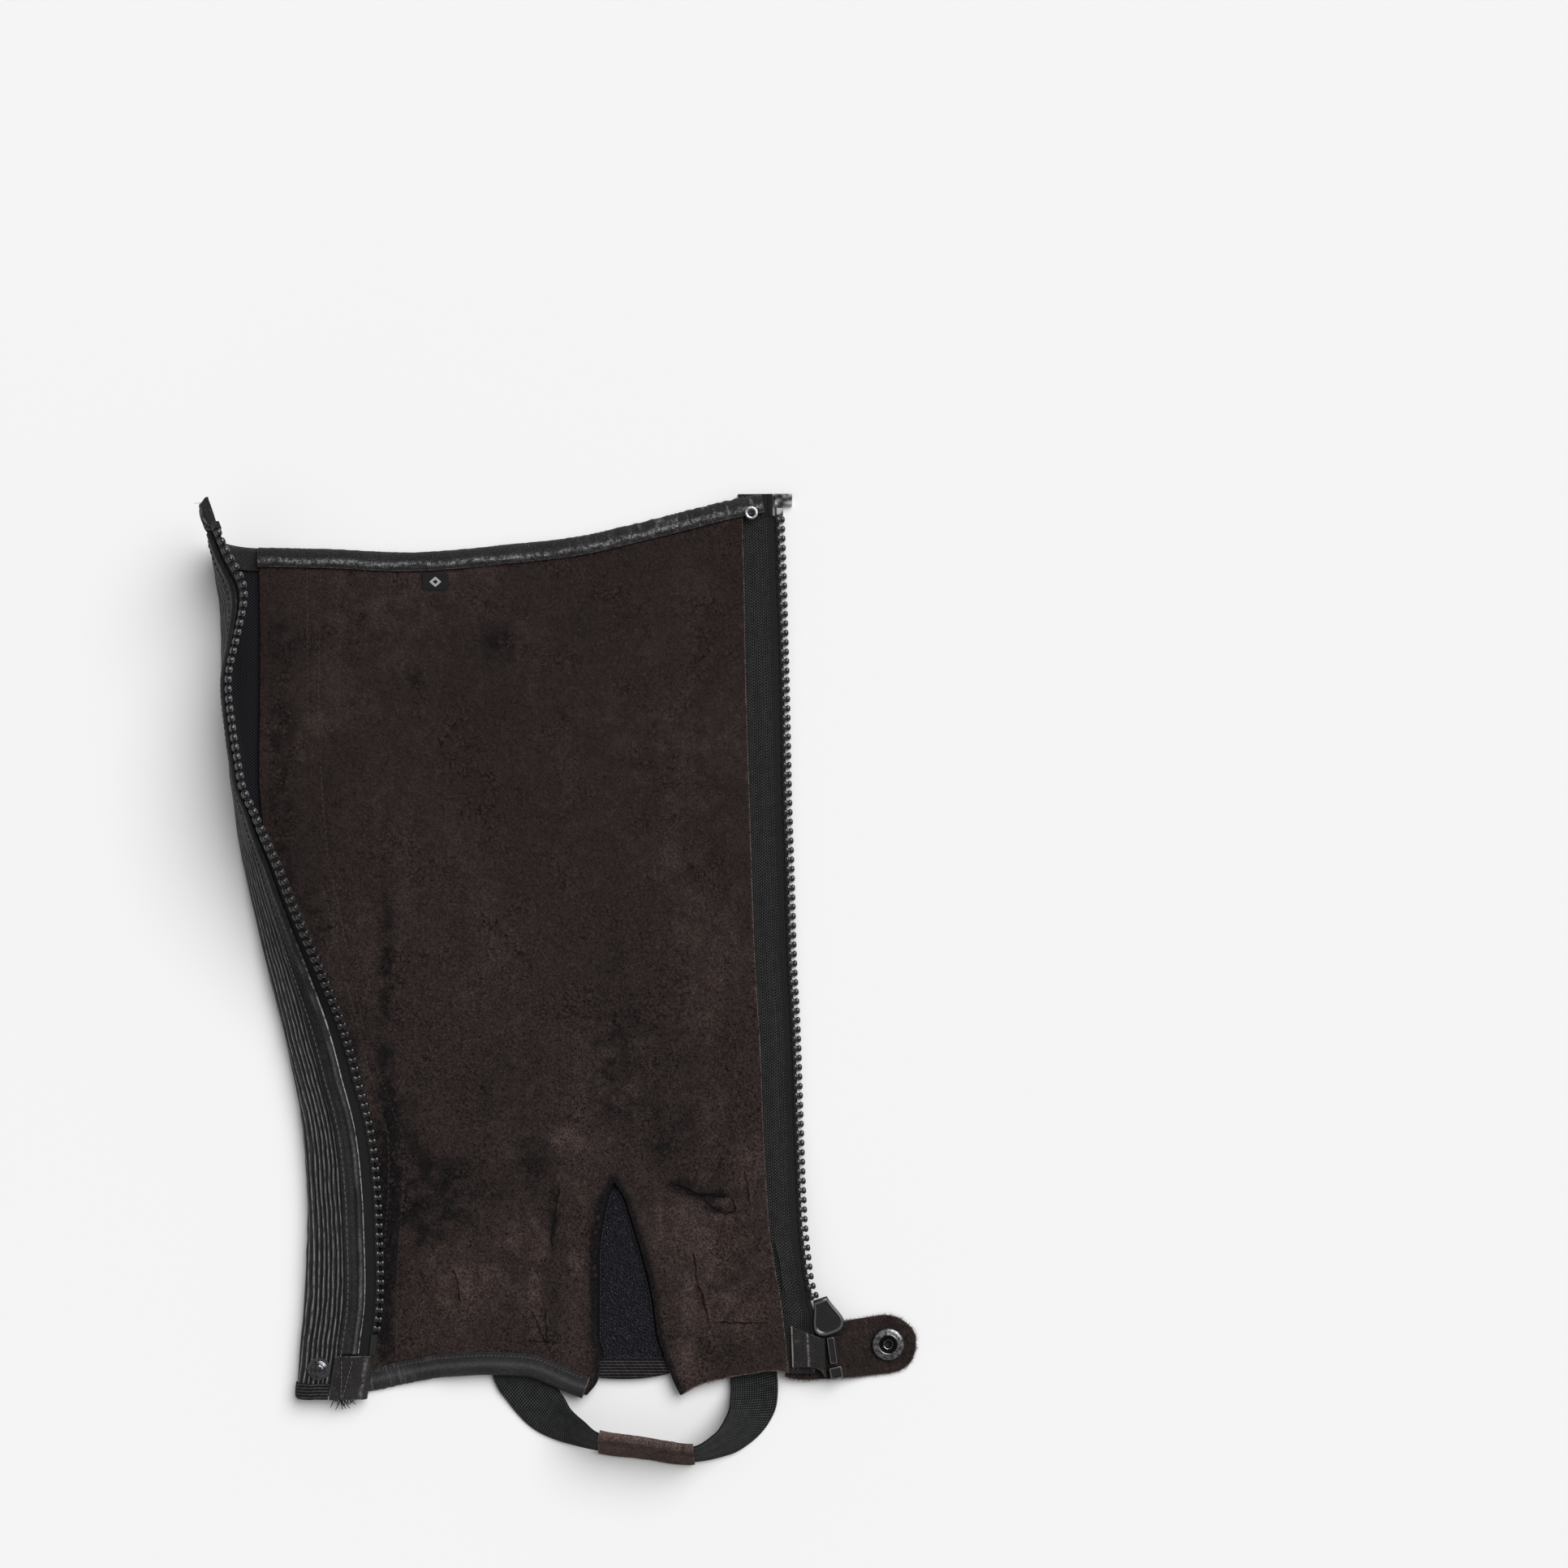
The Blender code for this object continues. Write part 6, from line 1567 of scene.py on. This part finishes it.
def boxBlock(low, high):
    # points and faces of a plain box
    corners = np.array(np.meshgrid(*zip(low, high), indexing="ij")).reshape(3, -1).T
    quads = np.array([(0, 1, 3, 2), (4, 6, 7, 5), (0, 4, 5, 1), (2, 3, 7, 6), (0, 2, 6, 4), (1, 5, 7, 3)])
    return corners, (quads, np.zeros((0, 3), int))


def joinedParts(parts):
    # several parts as one: all points, all quads and all triangles
    starts = np.cumsum([0] + [len(points) for points, _ in parts])
    blocks = [np.concatenate([faces[k] + start for (_, faces), start in zip(parts, starts)]) for k in (0, 1)]
    return np.concatenate([points for points, _ in parts]), blocks


def makeSlider():
    # outline walked down one side and up the other; each ring is that outline scaled about its middle
    along = 9.0 * np.cos(np.linspace(0, np.pi, slider["points"]))
    half = smoothCurve(sliderOutline["along"], sliderOutline["half"], along)
    outline = np.concatenate([stacked(half, along), stacked(-half, along)[::-1]])
    parts = []
    for steps in (slider["shield"], slider["plate"]):
        rings = [stacked(*(outline * (1 - inset / 7.7)).T, z) for z, inset in steps]
        parts.append(ringSolid(rings, [(0, 0, steps[0][0]), (0, 0, steps[-1][0])]))
    parts.append(boxBlock((-1.1, 3.6, 6.2), (1.1, 7.6, 9.0)))
    # bail: a rounded bar that runs down, along and up again
    path = stacked(slider["bail"]["along"], slider["bail"]["up"])
    normal = outwardOf(path)
    angle = np.arange(8) * np.pi / 4 + np.pi / 8
    thick = slider["bail"]["thick"][:, None] * np.sin(angle)
    rings = stacked(1.04 * np.cos(angle), path[:, :1] + normal[:, :1] * thick,
                    path[:, 1:] + normal[:, 1:] * thick)
    parts.append(ringSolid(rings, [(0, *path[0]), (0, *path[-1])]))
    points, blocks = joinedParts(parts)
    insets = [inset for _, inset in slider["shield"]]
    levels = np.interp(insets, (0, 0.3, 0.75, 1.1, 1.45, 1.75), (0, 0.02, 0.22, 0.36, 0.06, 0))
    rimLight = np.zeros(len(points))
    rimLight[:levels.size * len(outline)] = np.repeat(levels, len(outline))
    newPiece("zipSlider", swung(points, slider["turn"], slider["at"]), blocks, [sliderMetal],
             "zip_slider", masks={"rimLight": rimLight}, sharp=42)


# Retainer box and its pin: moulded blocks with a raised rim round a sunken window.
boxes = {
    "zipBoxPin": {"node": "zip_box_pin", "at": (135.6, -180.6), "turn": 8, "half": (1.9, 6.6),
                  "low": 6.5, "high": 8.7, "rim": 0.6, "sunk": 0.7},
    "zipBox": {"node": "zip_box", "at": (137.6, -191.4), "turn": 12, "half": (3.2, 3.0),
               "low": 5.6, "high": 9.4, "rim": 0.85, "sunk": 1.1},
}


def makeBoxes():
    # rings of a rectangle with cut corners, drawn in by an inset at each height
    for name, size in boxes.items():
        low, high, rim = size["low"], size["high"], size["rim"]
        steps = ((low, 0.25), (low + 0.25, 0.0), (high - 0.35, 0.0), (high - 0.08, 0.12), (high, 0.32),
                 (high, rim), (high - 0.12, rim + 0.14), (high - size["sunk"], rim + 0.26))
        rings = []
        for z, inset in steps:
            a, b = size["half"][0] - inset, size["half"][1] - inset
            cut = max(0.15, 0.55 - 0.4 * inset)
            rings.append([(a, b - cut, z), (a - cut, b, z), (cut - a, b, z), (-a, b - cut, z),
                          (-a, cut - b, z), (cut - a, -b, z), (a - cut, -b, z), (a, cut - b, z)])
        points, blocks = ringSolid(rings, [(0, 0, low), (0, 0, steps[-1][0])])
        rimLight = np.append(np.repeat((0, 0, 0, 0.1, 0.32, 0.14, 0, 0), 8), (0, 0))
        newPiece(name, swung(points, math.radians(size["turn"]), size["at"]), blocks, [sliderMetal],
                 size["node"], masks={"rimLight": rimLight}, sharp=32)


# Sewing: each row is a line of points with the surface's height and normals under it.
def onPanel(line, count):
    # points along a flat line, at the suede's own height with its seam dip
    flat = np.array(line, float)
    lengths = arcLengths(flat)
    x, y = readAt(np.linspace(0, lengths[-1], count), lengths, flat).T
    relief = reliefOf(x, y, legPanel["waves"], legPanel["lines"])
    relief = relief * easeStep(0, 12, edgeY(topEdge, x) - y) * easeStep(0, 10, y - edgeY(bottomLeft, x))
    return stacked(x, y, underLeather(x, y) + wall["leather"] + relief - 0.4)


def onFlap(fromTeeth, yStart, yEnd, out, count=300):
    # points and outward normals along the elastic side
    y = np.linspace(yStart, yEnd, count)
    across = flapWidth(y) - fromTeeth
    points = flapPoint(y, across, out)
    return points, unit(flapPoint(y, across, out + 1.0) - points)


def makeSewing():
    fine = {"pitch": 2.7, "length": 1.75, "radius": 0.17, "lift": 0.16, "stray": 0.10}
    coarse = {"pitch": 3.0, "length": 2.15, "radius": 0.24, "lift": 0.22, "stray": 0.08}
    for seed, (name, line) in enumerate(seams.items(), 5):
        stitchRow(name, onPanel(line, 260), seamThread, "brown_suede", fine, seed)
    points, normals = onFlap(17.9, -182, 203, 2.62)
    stitchRow("facingStitches", points, paleThread, "black_leather", coarse, 7, normals)
    points, normals = onFlap(14.0, -182, 203, 2.5)
    stitchRow("facingStitchesInner", points, greyThread, "black_leather", coarse, 8, normals, length=1.1,
              radius=0.2)
    # upper edge of the ankle binding: short slanted stitches over the raw edge
    stitchRow("ankleStitches", ankleSheet[4:-4, 4] + 0.12 * upAxis, ankleThread, "black_leather", fine, 9,
              slant=0.5, pitch=1.9, length=1.4, radius=0.26, stray=0.3)
    # thread that runs down the right tape in soft waves
    y = np.linspace(224, -150, 400)
    edge, tips = edgeX(rightEdge, y), edgeX(toothTips, y)
    x = edge + (tips - 5 - edge) * 0.52 + 0.5 * softNoise(y, 0, 21, 91)
    rise = easeStep(0, 1, (x - edge) / (tips - 2.9 - edge))
    stitchRow("tapeStitches", stacked(x, y, onTape(x, y, rise) + wall["tape"] + 0.06), tapeThread, "zip_tape",
              fine, 10, pitch=2.6, length=2.3, radius=0.16, lift=0.14)
    # both sides of the gusset's slit, and a zigzag over its hem
    for side, inward, seed in (("left", 1.6, 11), ("right", -1.6, 12)):
        y = np.linspace(-103, -184, 120)
        x = slitX(side, y) + inward
        stitchRow("gussetStitches" + side.title(), stacked(x, y, groundLift(x, y) + 1.77), knitThread,
                  "blue_black_knit", fine, seed, pitch=2.1, length=1.7, radius=0.22)
    x = np.linspace(17, 57, 90)
    row = stacked(x, -185.2 + 0.9 * np.abs((x * 0.55) % 2 - 1), groundLift(x, -185) + 2.4)
    stitchRow("gussetHemStitches", row, knitThread, "blue_black_knit", fine, 13, pitch=1.5, length=1.3)
    # caps: two rows in a narrow V on the left one, one beside the ridge on the right one
    for name, start, end, seed in (("capStitchesA", 17.6, 15.2, 14), ("capStitchesB", 12.4, 14.6, 15)):
        points, normals = onFlap(np.linspace(start, end, 60), -185.5, -203.6, 3.2, 60)
        stitchRow(name, points, paleThread, "black_leather", fine, seed, normals, pitch=2.4, length=1.8,
                  radius=0.26)
    y = np.linspace(-173.5, -187.5, 50)
    stitchRow("capStitchesC", stacked(122.2 + 0.02 * (y + 173), y, 9.95), greyThread, "black_leather",
              fine, 16, pitch=2.2, length=1.6)


def makeThreads(name, starts, aims, lengths, radius, material, seed, sag=0.5):
    # loose ends: each path is start + aim*s + bend*s^2, thinner toward its tip
    lengths = lengths[:, None]
    s = np.linspace(0, 1, 9)[:, None]
    bend = np.random.default_rng(seed).normal(0, 0.28, (len(lengths), 3)) * lengths
    bend[:, 2] = -np.abs(bend[:, 2]) * sag
    paths = starts[:, None] + (unit(aims) * lengths)[:, None] * s + bend[:, None] * s ** 2
    paths[..., 2] = np.maximum(paths[..., 2], radius + 0.05)
    along = unit(np.gradient(paths, axis=1))
    side = unit(np.cross(along, upAxis + 0.01))
    tubes(name, paths, side, np.cross(side, along), radius * (1 - 0.6 * s), 5, material)


def makeLooseEnds():
    random = np.random.default_rng(97)
    # frayed tape below the lower left cap
    share = np.linspace(0, 1, 26)
    starts = flapPoint(-203.5, flapWidth(-203.5) - (18.5 - 9.5 * share), 0.4)
    aims = stacked(0.5 - 1.1 * random.random(26), -1, -0.4)
    reach = random.uniform(2.2, 4.5, 26) + 3.5 * bell(share - 0.35, 0.12)
    makeThreads("frayedTape", starts, aims, reach, 0.42, blackThread, 98)
    # three ends at the fold of the upper left tape
    starts = flapPoint(213.8, flapWidth(213.8) - np.array([12.0, 9.0, 5.0]), np.array([0.8, 1.6, 1.0]))
    aims = np.array([(0.2, 1, 0.1), (0.8, 0.8, 0.2), (-1, 0.1, 0.1)])
    makeThreads("foldThreads", starts, aims, np.array([3.5, 3.0, 4.5]), 0.13, blackThread, 99, sag=0.1)
    # ends that show in the open lower right cap
    x = np.linspace(118, 129, 8)
    starts = stacked(x, -188.2 - 0.25 * np.maximum(x - 125, 0), 8.6)
    aims = stacked(random.uniform(-1, 1, 8) * 1.2, -0.6, 0.1)
    makeThreads("capThreads", starts, aims, random.uniform(1.5, 3.2, 8), 0.14, paleThread, 100)


def fringe(name, edge, outward, length, count, seed):
    # short nap fibres along a cut edge: thin tapered tubes that bend at random, held near the flat
    random = np.random.default_rng(seed)
    lengths = arcLengths(edge)
    at = np.sort(random.uniform(0, lengths[-1], count))
    start = readAt(at, lengths, edge) + random.normal(0, 0.12, (count, 3)) * np.array([1, 1, 0.6])
    aim = readAt(at, lengths, outward) + random.normal(0, 0.7, (count, 3)) * np.array([1, 1, 0.2])
    aim = unit(aim)
    reach = random.uniform(0.4, 1.3, count)[:, None, None] * length
    s = np.linspace(0, 1, 4)[None, :, None]
    bend = random.normal(0, 0.35, (count, 1, 3)) * reach
    paths = start[:, None] + aim[:, None] * reach * s + bend * s ** 2
    paths[..., 2] = np.maximum(paths[..., 2], 0.1)
    side = unit(np.cross(aim, upAxis + 0.01))[:, None]
    tubes(name, paths, side, upAxis, 0.075 * (1 - 0.75 * s), 3, suedeFibre)


def makeFringes():
    x = np.r_[np.linspace(134, 177, 80), np.linspace(177, 114, 110)]
    _, low, high, base = readRow(tabTable, x).values()
    edge = stacked(x, np.where(np.arange(len(x)) < 80, high, low), base + 1.1)
    run = unit(np.gradient(edge, axis=0))
    fringe("tabNap", edge, stacked(-run[:, 1], run[:, 0], 0), 1.1, 900, 101)
    along = np.linspace(80, 124.8, 60)
    middle = strapGrid(along, np.zeros((60, 1)), 1.2)[:, 0]
    for name, side, seed in (("sleeveNapUpper", 12.6, 102), ("sleeveNapLower", -12.6, 103)):
        edge = strapGrid(along, np.full((60, 1), side), 1.2)[:, 0]
        fringe(name, edge, unit(edge - middle), 0.8, 260, seed)
    x = np.linspace(62, 113, 90)
    y = edgeY(bottomRight, x)
    fringe("lowEdgeNap", stacked(x, y, underLeather(x, y) + 1.5), np.tile([0.0, -1.0, 0.0], (90, 1)),
           0.6, 300, 104)


finishNodes()
makeSnap()
makeSlider()
makeBoxes()
makeSewing()
makeLooseEnds()
makeFringes()
print("hard parts, sewing and loose ends made")


# Camera, floor and light. The light and the sky are even and soft, as on a photo table.
def makeStage():
    scene = bpy.context.scene
    scene.view_settings.view_transform = "Standard"
    lens = bpy.data.cameras.new("view")
    lens.lens = 74.53
    lens.sensor_width = 36
    camera = bpy.data.objects.new("camera", lens)
    camera.location = (0.10795, 0.09625, 1.6)
    scene.collection.objects.link(camera)
    scene.camera = camera
    floorMesh = bpy.data.meshes.new("floor")
    reach = 3.0
    corners = [(-reach, -reach, 0), (reach, -reach, 0), (reach, reach, 0), (-reach, reach, 0)]
    floorMesh.from_pydata(corners, [], [(0, 1, 2, 3)])
    made, _, shader = newMaterial("whiteSurface", 0.9, specular=0.1)
    feed(shader, "Base Color", (0.80, 0.80, 0.80))
    floorMesh.materials.append(made)
    floor = bpy.data.objects.new("floor", floorMesh)
    scene.collection.objects.link(floor)
    lamp = bpy.data.lights.new("keyLight", "SUN")
    lamp.energy = 3.15
    lamp.angle = math.radians(48)
    key = bpy.data.objects.new("keyLight", lamp)
    key.rotation_euler = Vector((0.42, 0.50, 0.76)).to_track_quat("Z", "Y").to_euler()
    scene.collection.objects.link(key)
    world = bpy.data.worlds.new("sky")
    world.use_nodes = True
    feed(world.node_tree.nodes["Background"], "Color", (1.0, 1.0, 1.0))
    feed(world.node_tree.nodes["Background"], "Strength", 0.38)
    scene.world = world


makeStage()
